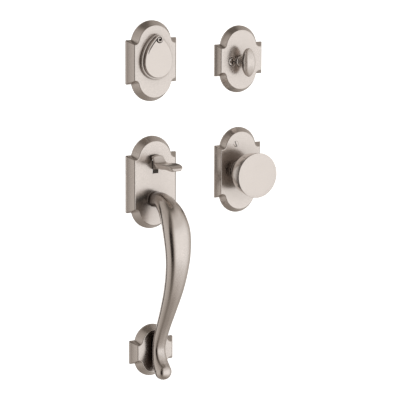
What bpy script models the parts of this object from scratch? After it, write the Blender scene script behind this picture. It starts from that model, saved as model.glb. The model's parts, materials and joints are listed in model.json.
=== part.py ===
"""Entry door handleset: outside deadbolt cylinder with a swinging key cover, outside handle
with a thumb latch and an S-shaped pull, inside thumb turn and inside knob.

World frame, in metres: X across the door, +Y into the door, +Z up. The backs of all five
plates lie in the door plane Y = 0 and the origin is the middle of the handle plate's back.
Each plate has an empty at its middle. Pieces under it are modelled as (across, up, out),
where out is the distance from the door plane towards the user.
"""
import math

import bmesh
import bpy
from mathutils import Matrix, Vector

# Clearances
FIT = 0.0003
RUNNING_FIT = 0.0003
SLOT_PLAY = 0.0004
OVERCUT = 0.0010

# Where the plates stand, from the middle of the handle plate
CYLINDER_UP = 0.1475
INSIDE_ACROSS = 0.1241
TURN_UP = 0.1403
KNOB_UP = 0.0039

# Section of the outside plates
OUTSIDE_DEPTH = 0.0115
OUTSIDE_RIM = 0.0020
OUTSIDE_SIDE_BEVEL = 0.0068
OUTSIDE_ARCH_BEVEL = 0.0053
OUTSIDE_EAR_ROUND = 0.0013
OUTSIDE_FACE_WALL = 0.0026

# Section of the inside plates
INSIDE_DEPTH = 0.0090
INSIDE_RIM = 0.0016
INSIDE_SIDE_BEVEL = 0.0053
INSIDE_ARCH_BEVEL = 0.0049
INSIDE_EAR_ROUND = 0.0005
INSIDE_FACE_WALL = 0.0024

# Section shared by all plates
NOTCH_FILLET = 0.0005
POCKET_WALL = 0.0019
COVE_SAG = 0.0004
FACE_EDGE = 0.0004
FRONT_EAR_ROUND = 0.0003

# How far the middles of the inside plates stand above the turn's and the knob's axes
TURN_PLATE_RAISE = 0.0019
KNOB_PLATE_RAISE = 0.0008

# Outlines of the plates: half width, half height at the ears, half height at the arch and
# half width of the arch where it meets the ear
CYLINDER_PLATE_HALF_WIDTH = 0.0350
CYLINDER_PLATE_EAR = 0.0266
CYLINDER_PLATE_HALF_HEIGHT = 0.0487
CYLINDER_PLATE_ARCH = 0.0272
HANDLE_PLATE_HALF_WIDTH = 0.0350
HANDLE_PLATE_EAR = 0.0351
HANDLE_PLATE_HALF_HEIGHT = 0.0566
HANDLE_PLATE_ARCH = 0.0272
FOOT_PLATE_HALF_WIDTH = 0.0305
FOOT_PLATE_EAR = 0.0144
FOOT_PLATE_HALF_HEIGHT = 0.0322
FOOT_PLATE_ARCH = 0.0226
TURN_PLATE_HALF_WIDTH = 0.0341
TURN_PLATE_EAR = 0.0195
TURN_PLATE_HALF_HEIGHT = 0.0412
TURN_PLATE_ARCH = 0.0260
KNOB_PLATE_HALF_WIDTH = 0.03335
KNOB_PLATE_EAR = 0.0324
KNOB_PLATE_HALF_HEIGHT = 0.0531
KNOB_PLATE_ARCH = 0.0257

# Deadbolt cylinder
PLUG_RADIUS = 0.00635
PLUG_LIP = 0.0010
PLUG_LIP_DEPTH = 0.0012
CYLINDER_FRONT_RADIUS = 0.0140
CYLINDER_REAR_RADIUS = 0.0093
CYLINDER_FLANGE_RADIUS = 0.0185
CYLINDER_FLANGE_DEPTH = 0.0020
CYLINDER_REAR = 0.0120
CYLINDER_SINK = 0.0005
POST_SPACING = 0.0260
POST_RADIUS = 0.0030
POST_BORE = 0.0016
POST_REAR = 0.0080
RETAINER_DEPTH = 0.0026
RETAINER_WALL = 0.0022
TAIL_WIDTH = 0.0064
TAIL_THICK = 0.0022
TAIL_REAR = 0.0360
TAIL_SEAT = 0.0060
KEY_SLOT_WIDTH = 0.0019
KEY_SLOT_HEIGHT = 0.0086
KEY_SLOT_DEPTH = 0.0180
KEY_SLOT_STEP = 0.0009

# Teardrop collar and key cover
COLLAR_RADIUS = 0.0211
COLLAR_TIP = 0.0335
COLLAR_HEIGHT = 0.0040
COVER_RADIUS = 0.0187
COVER_TIP = 0.0312
COVER_HEIGHT = 0.0040
TEARDROP_EDGE = 0.0005
SCROLL_ACROSS = 0.0009
SCROLL_UP = 0.0276
SCROLL_RADIUS = 0.0050
SCROLL_BEAD = 0.00095
SCROLL_PROUD = 0.0007
SCROLL_GROOVE = 0.0009
SCROLL_TURNS = 1.2
SCROLL_START = 160.0
SCROLL_JOIN = 122.0
SCROLL_EDGE_STEPS = 7
SCROLL_CURL_STEPS = 18
COVER_PIN_RADIUS = 0.0014
COVER_PIN_HEAD = 0.0027
COVER_PIN_HEAD_DEPTH = 0.0012
COVER_PIN_REACH = 0.0022

# Thumb turn
TURN_SCREW_SPACING = 0.0260
TURN_SCREW_HEAD = 0.0049
TURN_SCREW_HEAD_DEPTH = 0.0026
TURN_SCREW_RADIUS = 0.0020
TURN_SCREW_REAR = 0.0260
TURN_SCREW_CROSS = 0.0056
TURN_SCREW_CROSS_WIDTH = 0.0014
TURN_SCREW_CROSS_DEPTH = 0.0016
TURN_BUSHING_BASE = 0.0076
TURN_BUSHING_TOP = 0.0052
TURN_BUSHING_HEIGHT = 0.0056
TURN_BUSHING_STEM = 0.0050
TURN_BUSHING_EASE = 0.0006
TURN_SPINDLE_RADIUS = 0.0030
TURN_SPINDLE_REAR = 0.0180
TURN_SPINDLE_SLOT = 0.0024
TURN_SPINDLE_SLOT_DEPTH = 0.0130
TURN_SOCKET_DEPTH = 0.0090
TURN_HALF_HEIGHT = 0.0176
TURN_HALF_WIDTH = 0.0065
TURN_LENGTH = 0.0168
TURN_BEND = 0.0040
CLIP_THICK = 0.0008
CLIP_WIDTH = 0.0026
CLIP_MOUTH = 0.0036

# Steel plates behind the inside roses
STEEL_PLATE = 0.0016
TURN_STEEL_HALF_WIDTH = 0.0225
TURN_STEEL_HALF_HEIGHT = 0.0180
KNOB_STEEL_HALF_WIDTH = 0.0250
KNOB_STEEL_HALF_HEIGHT = 0.0270
STEEL_CORNER = 0.0080

# Thumbpiece, in (across, up, out) from the middle of the handle plate
THUMB_REACH = 0.0630
THUMB_HOOD_UP = 0.0350
THUMB_HALF_WIDTH = 0.0101
THUMB_EDGE = 0.0009
THUMB_SLOT_WIDTH = 0.0086
THUMB_SLOT_LOW = THUMB_HOOD_UP * 0.351
THUMB_SLOT_HIGH = THUMB_HOOD_UP * 0.886
THUMB_PIN_UP = 0.0220
THUMB_PIN_OUT = 0.0046
THUMB_PIN_RADIUS = 0.0015
THUMB_HUB_RADIUS = 0.0034
THUMB_LUG_INNER = 0.0056
THUMB_LUG_THICK = 0.0022
THUMB_LUG_LOW = 0.0085
THUMB_LEDGE_UP = 0.0300
THUMB_LEDGE_THICK = 0.0020
THUMB_LEDGE_REAR = 0.0046
THUMB_TAIL_WIDTH = 0.0060
THUMB_TAIL_THICK = 0.0030
THUMB_TAIL_REAR = 0.0140
SPRING_RADIUS = 0.0018
SPRING_WIRE = 0.0007
SPRING_TURNS = 3
SPRING_BEHIND = 0.0021
HANDLE_STUD_SPACING = 0.0380
HANDLE_STUD_UP = 0.0205
HANDLE_STUD_RADIUS = 0.0036
HANDLE_STUD_BORE = 0.0019
HANDLE_STUD_REAR = 0.0140
WEB_HALF_HEIGHT = 0.0030

# Pull, along the middle line of the bar, and the foot plate under its lower end
PULL_ROOT_UP = -0.0193
PULL_ROOT_COLLAR = 0.0040
PULL_LENGTH = 0.2103
PULL_PROJECTION = 0.0645
PULL_HALF_WIDTH = 0.0176
PULL_HALF_THICK = 0.0130
PULL_LOW_SHARE = 0.312
FOOT_SHARE = 0.8987
FOOT_DOWN = PULL_LENGTH * FOOT_SHARE - PULL_ROOT_UP
PULL_BOLT_RADIUS = 0.0030
PULL_BOLT_HEAD = 0.0058
PULL_BOLT_HEAD_DEPTH = 0.0034
PULL_BOLT_REACH = 0.0120
FOOT_POST_HALF_WIDTH = 0.0048
FOOT_POST_HALF_HEIGHT = 0.0090
FOOT_BOLT_RADIUS = 0.0025
FOOT_BOLT_REACH = 0.0075

# Inside knob
KNOB_RADIUS = 0.0276
KNOB_FRONT = 0.0480
KNOB_BACK = 0.0205
KNOB_SHANK_RADIUS = 0.0092
KNOB_SHANK_REAR = 0.0044
KNOB_BUSHING_RADIUS = 0.0128
KNOB_BUSHING_FLANGE = 0.0150
KNOB_BUSHING_FLANGE_DEPTH = 0.0016
KNOB_BUSHING_EASE = 0.0005
KNOB_SPINDLE_SIDE = 0.0076
KNOB_SPINDLE_REAR = 0.0300
KNOB_SOCKET_DEPTH = 0.0220
KNOB_CLIP_GROOVE = 0.0009
KNOB_BOLT_SPACING = 0.0380
KNOB_BOLT_RADIUS = 0.0020
KNOB_BOLT_HEAD = 0.0040
KNOB_BOLT_HEAD_DEPTH = 0.0022
KNOB_BOLT_REAR = 0.0190
CAGE_RADIUS = 0.0160
CAGE_WALL = 0.0012
CAGE_DEPTH = 0.0100
CAM_HUB_RADIUS = 0.0078
CAM_DISC_RADIUS = 0.0130
CAM_DISC_THICK = 0.0016
CAM_HUB_LENGTH = 0.0070
RETURN_WIRE = 0.0012
RETURN_TURNS = 2
RETURN_LEG_ANGLE = 70
LOCK_SCREW_ACROSS = -0.0072
LOCK_SCREW_UP = 0.0344
LOCK_SCREW_RADIUS = 0.0034
LOCK_SCREW_SLOT = 0.0008
LOCK_SCREW_LENGTH = 0.0045
LOCK_SCREW_LEAN = 20

# Smoothness of round forms
ARCH_STEPS = 6
NOTCH_STEPS = 3
ROUND_STEPS = 28
SMALL_ROUND_STEPS = 16
KNOB_STEPS = 32


def clear_scene():
    for obj in list(bpy.data.objects):
        bpy.data.objects.remove(obj, do_unlink=True)


clear_scene()
PARTS = bpy.data.collections.new("entry_handleset")
CUTTERS = bpy.data.collections.new("cutters")
bpy.context.scene.collection.children.link(PARTS)
bpy.context.scene.collection.children.link(CUTTERS)


# Materials

def make_material(name, colour, roughness, metallic=1.0):
    material = bpy.data.materials.new(name)
    material.use_nodes = True
    shader = material.node_tree.nodes["Principled BSDF"]
    shader.inputs["Base Color"].default_value = (*colour, 1.0)
    shader.inputs["Roughness"].default_value = roughness
    shader.inputs["Metallic"].default_value = metallic
    return material


SATIN_NICKEL = (0.66, 0.61, 0.57)
BRASS = (0.72, 0.55, 0.30)
STEEL = (0.56, 0.57, 0.58)
SPRING_STEEL = (0.42, 0.42, 0.44)


# Placing pieces

def make_station(name, across, up):
    """Empty at a plate's middle: its X is across, its Y is up and its Z points to the user."""
    station = bpy.data.objects.new(name, None)
    station.location = (across, 0.0, up)
    station.rotation_euler = (math.pi / 2, 0.0, 0.0)
    PARTS.objects.link(station)
    return station


def add_object(name, mesh, station, at, cutter=False):
    """Object under a station. Its mesh is in the station's frame, and at becomes its origin."""
    mesh.transform(Matrix.Translation(-Vector(at)))
    obj = bpy.data.objects.new(name, mesh)
    obj.parent = station
    obj.location = at
    if cutter:
        CUTTERS.objects.link(obj)
        obj.hide_render = True
        obj.display_type = "WIRE"
    else:
        PARTS.objects.link(obj)
    return obj


def finish(obj, colour, roughness, sharp=32):
    obj.data.materials.clear()
    obj.data.materials.append(make_material(obj.name, colour, roughness))
    obj.data.shade_smooth()
    obj.data.set_sharp_from_angle(angle=math.radians(sharp))
    return obj


def combine(obj, other, operation):
    """EXACT Boolean between a piece and another solid, which is moved to the cutters."""
    if other.name in PARTS.objects:
        PARTS.objects.unlink(other)
        CUTTERS.objects.link(other)
        other.hide_render = True
        other.display_type = "WIRE"
    modifier = obj.modifiers.new(operation.lower(), "BOOLEAN")
    modifier.operation = operation
    modifier.solver = "EXACT"
    modifier.object = other


def cut(obj, other):
    combine(obj, other, "DIFFERENCE")


def join(obj, other):
    combine(obj, other, "UNION")


# Solid builders, all in a station's (across, up, out)

def mesh_from(bm, name):
    bmesh.ops.recalc_face_normals(bm, faces=bm.faces)
    mesh = bpy.data.meshes.new(name)
    bm.to_mesh(mesh)
    bm.free()
    return mesh


def loft(name, rings, closed=False):
    """Closed skin over rings of equally many points, capped at its ends unless closed."""
    bm = bmesh.new()
    loops = [[bm.verts.new(point) for point in ring] for ring in rings]
    pairs = list(zip(loops, loops[1:]))
    if closed:
        pairs.append((loops[-1], loops[0]))
    for low, high in pairs:
        for i in range(len(low)):
            j = (i + 1) % len(low)
            bm.faces.new((low[i], low[j], high[j], high[i]))
    if not closed:
        bm.faces.new(reversed(loops[0]))
        bm.faces.new(loops[-1])
    return mesh_from(bm, name)


def rod_mesh(name, radius, low, high, across=0.0, up=0.0, steps=SMALL_ROUND_STEPS, top=None):
    """Round bar along out, from low to high, with another radius at the top for a cone."""
    bm = bmesh.new()
    bmesh.ops.create_cone(
        bm, cap_ends=True, segments=steps, radius1=radius,
        radius2=radius if top is None else top, depth=high - low,
        matrix=Matrix.Translation((across, up, (low + high) / 2)))
    return mesh_from(bm, name)


def cross_rod_mesh(name, radius, low, high, up, out, steps=SMALL_ROUND_STEPS):
    """Round bar along across, from low to high."""
    bm = bmesh.new()
    matrix = Matrix.Translation(((low + high) / 2, up, out)) @ Matrix.Rotation(math.pi / 2, 4, "Y")
    bmesh.ops.create_cone(bm, cap_ends=True, segments=steps, radius1=radius, radius2=radius,
                          depth=high - low, matrix=matrix)
    return mesh_from(bm, name)


def box_mesh(name, low, high):
    bm = bmesh.new()
    size = Vector(high) - Vector(low)
    middle = (Vector(high) + Vector(low)) / 2
    matrix = Matrix.Translation(middle) @ Matrix.Diagonal((*size, 1.0))
    bmesh.ops.create_cube(bm, size=1.0, matrix=matrix)
    return mesh_from(bm, name)


def cutter(name, mesh, station):
    return add_object(name, mesh, station, (0.0, 0.0, 0.0), cutter=True)


def bore(obj, name, radius, low, high, station, across=0.0, up=0.0, steps=SMALL_ROUND_STEPS,
         blind=False):
    """Round hole along out, cut a little past both ends, or past its low end where it is blind."""
    end = high if blind else high + OVERCUT
    cut(obj, cutter(name, rod_mesh(name, radius, low - OVERCUT, end, across, up, steps), station))


def turned(name, profile, station, at=(0.0, 0.0, 0.0), steps=ROUND_STEPS):
    """Solid of revolution about out. The profile is (radius, out) from its front to its back.

    A profile that ends where it began is the section of a ring.
    """
    mesh = bpy.data.meshes.new(name)
    ring = profile[0] == profile[-1]
    points = [(radius, 0.0, out) for radius, out in (profile[:-1] if ring else profile)]
    edges = [(i, i + 1) for i in range(len(points) - 1)]
    if ring:
        edges.append((len(points) - 1, 0))
    mesh.from_pydata(points, edges, [])
    obj = bpy.data.objects.new(name, mesh)
    obj.parent = station
    obj.location = at
    PARTS.objects.link(obj)
    screw = obj.modifiers.new("turn", "SCREW")
    screw.axis = "Z"
    screw.steps = steps
    screw.render_steps = steps
    screw.use_merge_vertices = True
    screw.merge_threshold = 0.00001
    return obj


def ring_profile(inner, outer, low, high):
    """Closed section of a plain ring, front to back down its outer side."""
    return [(inner, high), (outer, high), (outer, low), (inner, low), (inner, high)]


def prism(name, outline, low, high):
    """Flat outline in (across, up) as a filled 2D curve, made a mesh between two outs."""
    curve = bpy.data.curves.new(name, "CURVE")
    curve.dimensions = "2D"
    curve.fill_mode = "BOTH"
    curve.extrude = (high - low) / 2
    spline = curve.splines.new("POLY")
    spline.points.add(len(outline) - 1)
    for point, (across, up) in zip(spline.points, outline):
        point.co = (across, up, 0.0, 1.0)
    spline.use_cyclic_u = True
    mesh = curve_to_mesh(name, curve)
    mesh.transform(Matrix.Translation((0.0, 0.0, (low + high) / 2)))
    return mesh


def curve_to_mesh(name, curve):
    """Evaluated mesh of a curve with its caps welded on."""
    holder = bpy.data.objects.new(name + "_curve", curve)
    CUTTERS.objects.link(holder)
    graph = bpy.context.evaluated_depsgraph_get()
    mesh = bpy.data.meshes.new_from_object(holder.evaluated_get(graph), depsgraph=graph)
    bpy.data.objects.remove(holder, do_unlink=True)
    bm = bmesh.new()
    bm.from_mesh(mesh)
    bmesh.ops.remove_doubles(bm, verts=bm.verts, dist=0.000002)
    bmesh.ops.recalc_face_normals(bm, faces=bm.faces)
    bm.to_mesh(mesh)
    bm.free()
    mesh.name = name
    return mesh


def tube_mesh(name, points, radius, radii=None, resolution=2):
    """Round wire through points, with a factor on its radius at each of them."""
    curve = bpy.data.curves.new(name, "CURVE")
    curve.dimensions = "3D"
    curve.bevel_depth = radius
    curve.bevel_resolution = resolution
    curve.use_fill_caps = True
    spline = curve.splines.new("POLY")
    spline.points.add(len(points) - 1)
    for i, point in enumerate(points):
        spline.points[i].co = (*point, 1.0)
        spline.points[i].radius = 1.0 if radii is None else radii[i]
    return curve_to_mesh(name, curve)


def arc(middle_across, middle_up, radius, start, end, steps):
    """Points of an arc from one angle to another, in degrees, both ends included."""
    points = []
    for i in range(steps + 1):
        angle = math.radians(start + (end - start) * i / steps)
        points.append((middle_across + radius * math.cos(angle),
                       middle_up + radius * math.sin(angle)))
    return points


# The arched plates

def plate_outline(half_width, ear, half_height, arch_half, side_inset, arch_inset, ear_round):
    """Outline with square ears at the sides and a round arch above and below.

    The arch meets the ear in a notch. Set in by a distance, the notch opens into a fillet of
    that radius about the same corner, which gives the plate's front its S-shaped shoulders.
    """
    rise = half_height - ear
    arch_radius = (arch_half ** 2 + rise ** 2) / (2 * rise)
    arch_middle = half_height - arch_radius
    notch_up = ear + NOTCH_FILLET
    notch_reach = arch_radius + NOTCH_FILLET
    notch_across = math.sqrt(notch_reach ** 2 - (notch_up - arch_middle) ** 2)
    start = math.degrees(math.atan2(notch_up - arch_middle, notch_across))
    fillet = NOTCH_FILLET + arch_inset
    corner_across = half_width - side_inset - ear_round
    corner_up = ear - arch_inset - ear_round
    quarter = arc(corner_across, corner_up, ear_round, 0.0, 90.0, 2)
    quarter += arc(notch_across, notch_up, fillet, -90.0, -180.0 + start, NOTCH_STEPS)
    quarter += arc(0.0, arch_middle, arch_radius - arch_inset, start, 90.0, ARCH_STEPS)[1:]
    upper = quarter + [(-across, up) for across, up in reversed(quarter[:-1])]
    return upper + [(-across, -up) for across, up in upper]


def pocket_insets(depth, rim, side_bevel, arch_bevel, face_wall):
    """How far the pocket's straight wall stands in from the outline at its sides and arches."""
    share = (depth - face_wall - rim) / (depth - rim)
    return side_bevel * share + POCKET_WALL, arch_bevel * share + POCKET_WALL


def plate_mesh(name, size, depth, rim, side_bevel, arch_bevel, ear_round, face_wall, raised):
    """Cast plate: straight rim, slightly hollow bevel, flat face and a pocket behind."""
    def ring(side_inset, arch_inset, corner, out):
        outline = plate_outline(*size, side_inset, arch_inset, corner)
        return [(across, up + raised, out) for across, up in outline]

    pocket = pocket_insets(depth, rim, side_bevel, arch_bevel, face_wall)
    rings = [ring(*pocket, FRONT_EAR_ROUND, depth - face_wall), ring(*pocket, FRONT_EAR_ROUND, 0.0),
             ring(0.0, 0.0, ear_round, 0.0), ring(0.0, 0.0, ear_round, rim)]
    shoulder = depth - FACE_EDGE
    for share in (0.5, 1.0):
        sag = COVE_SAG * 4 * share * (1 - share)
        corner = ear_round + (FRONT_EAR_ROUND - ear_round) * share
        side = (side_bevel - FACE_EDGE) * share + sag
        arch = (arch_bevel - FACE_EDGE) * share + sag
        rings.append(ring(side, arch, corner, rim + (shoulder - rim) * share - sag / 2))
    rings.append(ring(side_bevel, arch_bevel, FRONT_EAR_ROUND, depth))
    return loft(name, rings)


def outside_plate(name, station, size):
    mesh = plate_mesh(name, size, OUTSIDE_DEPTH, OUTSIDE_RIM, OUTSIDE_SIDE_BEVEL,
                      OUTSIDE_ARCH_BEVEL, OUTSIDE_EAR_ROUND, OUTSIDE_FACE_WALL, 0.0)
    return add_object(name, mesh, station, (0.0, 0.0, 0.0))


def inside_plate(name, station, size, raised):
    mesh = plate_mesh(name, size, INSIDE_DEPTH, INSIDE_RIM, INSIDE_SIDE_BEVEL,
                      INSIDE_ARCH_BEVEL, INSIDE_EAR_ROUND, INSIDE_FACE_WALL, raised)
    return add_object(name, mesh, station, (0.0, 0.0, 0.0))


OUTSIDE_POCKET = OUTSIDE_DEPTH - OUTSIDE_FACE_WALL
INSIDE_POCKET = INSIDE_DEPTH - INSIDE_FACE_WALL


# Outside deadbolt

def teardrop_outline(radius, tip, steps=18):
    """Half circle below and two wide arcs above that meet in a point at the tip's height."""
    side = (radius ** 2 + tip ** 2) / (2 * radius)
    lean = math.degrees(math.asin(tip / side))
    right = arc(radius - side, 0.0, side, 0.0, lean, steps // 2)
    left = arc(side - radius, 0.0, side, 180.0 - lean, 180.0, steps // 2)[1:]
    below = arc(0.0, 0.0, radius, 180.0, 360.0, steps)[1:-1]
    return right + left + below


def edged_prism(name, outline_at, low, high, edge):
    """Solid between two outs whose front edge is eased, from an outline that takes an inset."""
    rings = []
    for inset, out in ((0.0, low), (0.0, high - edge), (edge * 0.3, high - edge * 0.3), (edge, high)):
        rings.append([(across, up, out) for across, up in outline_at(inset)])
    return loft(name, rings)


def scroll_path(front):
    """Middle line of the bead: up the cover's left edge, over its tip and in on itself.

    Returns its points, a factor on the bead's radius at each, and how many lie on the edge.
    """
    side = (COVER_RADIUS ** 2 + COVER_TIP ** 2) / (2 * COVER_RADIUS)
    middle = side - COVER_RADIUS
    reach = side - SCROLL_BEAD * 0.8
    first = SCROLL_RADIUS - SCROLL_BEAD
    join_across = SCROLL_ACROSS + first * math.cos(math.radians(SCROLL_JOIN))
    join_up = SCROLL_UP + first * math.sin(math.radians(SCROLL_JOIN))
    low = math.radians(SCROLL_START)
    high = math.atan2(join_up, join_across - middle)
    shift = math.hypot(join_up, join_across - middle) - reach
    top = front - SCROLL_BEAD + SCROLL_PROUD
    points = []
    radii = []
    for i in range(SCROLL_EDGE_STEPS):
        share = i / SCROLL_EDGE_STEPS
        angle = low + (high - low) * share
        length = reach + shift * share ** 3
        fade = min(1.0, 0.45 + 1.4 * share)
        points.append((middle + length * math.cos(angle), length * math.sin(angle),
                       top - SCROLL_BEAD * (1.0 - fade)))
        radii.append(fade)
    last = SCROLL_BEAD * 1.25
    for i in range(SCROLL_CURL_STEPS + 1):
        share = i / SCROLL_CURL_STEPS
        angle = math.radians(SCROLL_JOIN - 360.0 * SCROLL_TURNS * share)
        length = first + (last - first) * share ** 1.3
        points.append((SCROLL_ACROSS + length * math.cos(angle),
                       SCROLL_UP + length * math.sin(angle), top))
        radii.append(1.0)
    return points, radii


def build_cylinder(station):
    rose = outside_plate("cylinder_rose", station, (
        CYLINDER_PLATE_HALF_WIDTH, CYLINDER_PLATE_EAR, CYLINDER_PLATE_HALF_HEIGHT,
        CYLINDER_PLATE_ARCH))
    hole = CYLINDER_FRONT_RADIUS + FIT
    bore(rose, "rose_bore", hole, OUTSIDE_POCKET, OUTSIDE_DEPTH, station, steps=ROUND_STEPS)
    pin_hole = COVER_PIN_RADIUS + FIT
    bore(rose, "rose_pin_hole", pin_hole, OUTSIDE_POCKET, OUTSIDE_DEPTH, station,
         SCROLL_ACROSS, SCROLL_UP)
    finish(rose, SATIN_NICKEL, 0.34)

    collar_back = OUTSIDE_DEPTH + FIT
    collar_front = collar_back + COLLAR_HEIGHT
    collar = add_object("key_collar", edged_prism(
        "key_collar", lambda inset: teardrop_outline(COLLAR_RADIUS - inset, COLLAR_TIP - inset),
        collar_back, collar_front, TEARDROP_EDGE), station, (0.0, 0.0, 0.0))
    bore(collar, "collar_bore", hole, collar_back, collar_front, station, steps=ROUND_STEPS)
    bore(collar, "collar_pin_hole", pin_hole, collar_back, collar_front, station,
         SCROLL_ACROSS, SCROLL_UP)
    finish(collar, SATIN_NICKEL, 0.34, sharp=20)

    # The cylinder body stands on a flange behind the rose and fills the collar from inside
    face = collar_front - CYLINDER_SINK
    flange_front = OUTSIDE_POCKET - FIT
    flange_back = flange_front - CYLINDER_FLANGE_DEPTH
    plug_bore = PLUG_RADIUS + RUNNING_FIT
    lip_radius = PLUG_RADIUS + PLUG_LIP
    lip_seat = face - PLUG_LIP_DEPTH - FIT
    housing = turned("cylinder_housing", [
        (lip_radius + RUNNING_FIT, face), (CYLINDER_FRONT_RADIUS, face),
        (CYLINDER_FRONT_RADIUS, flange_front), (CYLINDER_FLANGE_RADIUS, flange_front),
        (CYLINDER_FLANGE_RADIUS, flange_back), (CYLINDER_REAR_RADIUS, flange_back),
        (CYLINDER_REAR_RADIUS, -CYLINDER_REAR), (plug_bore, -CYLINDER_REAR),
        (plug_bore, lip_seat), (lip_radius + RUNNING_FIT, lip_seat),
        (lip_radius + RUNNING_FIT, face)], station)
    finish(housing, SATIN_NICKEL, 0.3)

    plug_back = -CYLINDER_REAR - RETAINER_DEPTH - 2 * FIT
    plug = turned("cylinder_plug", [
        (0.0, face), (lip_radius, face), (lip_radius, face - PLUG_LIP_DEPTH),
        (PLUG_RADIUS, face - PLUG_LIP_DEPTH), (PLUG_RADIUS, plug_back), (0.0, plug_back)],
        station, steps=SMALL_ROUND_STEPS)
    half = KEY_SLOT_WIDTH / 2
    for name, low, high, shift in (("key_slot_low", -KEY_SLOT_HEIGHT / 2, 0.0, KEY_SLOT_STEP / 2),
                                   ("key_slot_high", -FIT, KEY_SLOT_HEIGHT / 2, -KEY_SLOT_STEP / 2)):
        cut(plug, cutter(name, box_mesh(name, (shift - half, low, face - KEY_SLOT_DEPTH),
                                        (shift + half, high, face + OVERCUT)), station))
    seat_width = TAIL_WIDTH / 2 + SLOT_PLAY
    seat_thick = TAIL_THICK / 2 + SLOT_PLAY
    cut(plug, cutter("tail_seat", box_mesh(
        "tail_seat", (-seat_thick, -seat_width, plug_back - OVERCUT),
        (seat_thick, seat_width, plug_back + TAIL_SEAT)), station))
    finish(plug, BRASS, 0.28)

    retainer = turned("plug_retainer", ring_profile(
        PLUG_RADIUS + FIT, PLUG_RADIUS + FIT + RETAINER_WALL, -CYLINDER_REAR - FIT - RETAINER_DEPTH,
        -CYLINDER_REAR - FIT), station, steps=SMALL_ROUND_STEPS)
    finish(retainer, STEEL, 0.4)

    tail = add_object("cylinder_tailpiece", box_mesh(
        "cylinder_tailpiece", (-TAIL_THICK / 2, -TAIL_WIDTH / 2, -TAIL_REAR),
        (TAIL_THICK / 2, TAIL_WIDTH / 2, plug_back + TAIL_SEAT - FIT)), station, (0.0, 0.0, 0.0))
    finish(tail, STEEL, 0.4)

    for name, side in (("cylinder_post_left", -1), ("cylinder_post_right", 1)):
        post = turned(name, ring_profile(POST_BORE, POST_RADIUS, -POST_REAR, flange_back - FIT),
                      station, (side * POST_SPACING / 2, 0.0, 0.0), SMALL_ROUND_STEPS)
        finish(post, BRASS, 0.35)

    build_key_cover(station, collar_front)


def build_key_cover(station, collar_front):
    back = collar_front + FIT
    front = back + COVER_HEIGHT
    pivot = (SCROLL_ACROSS, SCROLL_UP, back)

    cover = add_object("key_cover", edged_prism(
        "key_cover", lambda inset: teardrop_outline(COVER_RADIUS - inset, COVER_TIP - inset),
        back, front, TEARDROP_EDGE), station, pivot)
    join(cover, cutter("cover_knuckle", rod_mesh(
        "cover_knuckle", SCROLL_RADIUS - SCROLL_BEAD / 2, back, front - SCROLL_GROOVE / 2,
        SCROLL_ACROSS, SCROLL_UP, steps=24), station))
    path, radii = scroll_path(front)
    cut(cover, cutter("curl_sink", rod_mesh(
        "curl_sink", SCROLL_RADIUS - SCROLL_BEAD / 3, front - SCROLL_GROOVE, front + OVERCUT,
        SCROLL_ACROSS, SCROLL_UP, steps=24), station))
    groove = [(across + SCROLL_BEAD * 1.25, up - SCROLL_BEAD * 0.7, front + SCROLL_BEAD * 0.3)
              for across, up, _ in path[:SCROLL_EDGE_STEPS]]
    cut(cover, cutter("edge_groove", tube_mesh(
        "edge_groove", groove, SCROLL_BEAD, radii[:SCROLL_EDGE_STEPS]), station))
    join(cover, cutter("scroll_bead", tube_mesh("scroll_bead", path, SCROLL_BEAD, radii), station))
    bore(cover, "cover_pin_hole", COVER_PIN_RADIUS + FIT, back, back + COVER_PIN_REACH + FIT,
         station, SCROLL_ACROSS, SCROLL_UP, blind=True)
    finish(cover, SATIN_NICKEL, 0.34, sharp=20)

    head_front = OUTSIDE_POCKET - FIT
    pin = turned("cover_pivot_pin", [
        (0.0, back + COVER_PIN_REACH), (COVER_PIN_RADIUS, back + COVER_PIN_REACH),
        (COVER_PIN_RADIUS, head_front), (COVER_PIN_HEAD, head_front),
        (COVER_PIN_HEAD, head_front - COVER_PIN_HEAD_DEPTH),
        (0.0, head_front - COVER_PIN_HEAD_DEPTH)],
        station, (SCROLL_ACROSS, SCROLL_UP, 0.0), SMALL_ROUND_STEPS)
    finish(pin, STEEL, 0.4)


# Inside thumb turn

def countersunk_screw(name, station, across, head_front):
    """Flat-headed machine screw with a cross recess."""
    head_back = head_front - TURN_SCREW_HEAD_DEPTH
    screw = turned(name, [
        (0.0, head_front), (TURN_SCREW_HEAD, head_front), (TURN_SCREW_RADIUS, head_back),
        (TURN_SCREW_RADIUS, -TURN_SCREW_REAR), (0.0, -TURN_SCREW_REAR)],
        station, (across, 0.0, 0.0), SMALL_ROUND_STEPS)
    long = TURN_SCREW_CROSS / 2
    wide = TURN_SCREW_CROSS_WIDTH / 2
    for part, half_across, half_up in (("bar", long, wide), ("post", wide, long)):
        cut(screw, cutter(name + "_" + part, box_mesh(
            name + "_" + part, (across - half_across, -half_up, head_front - TURN_SCREW_CROSS_DEPTH),
            (across + half_across, half_up, head_front + OVERCUT)), station))
    return finish(screw, SATIN_NICKEL, 0.32)


def ellipse_ring(half_across, half_up, out, steps, power=2.0, middle=(0.0, 0.0)):
    """Ring of a rounded section. A power over 2 squares its shoulders."""
    points = []
    for i in range(steps):
        angle = 2 * math.pi * i / steps
        cosine = math.cos(angle)
        sine = math.sin(angle)
        across = math.copysign(abs(cosine) ** (2 / power), cosine) * half_across
        up = math.copysign(abs(sine) ** (2 / power), sine) * half_up
        points.append((middle[0] + across, middle[1] + up, out))
    return points


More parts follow.
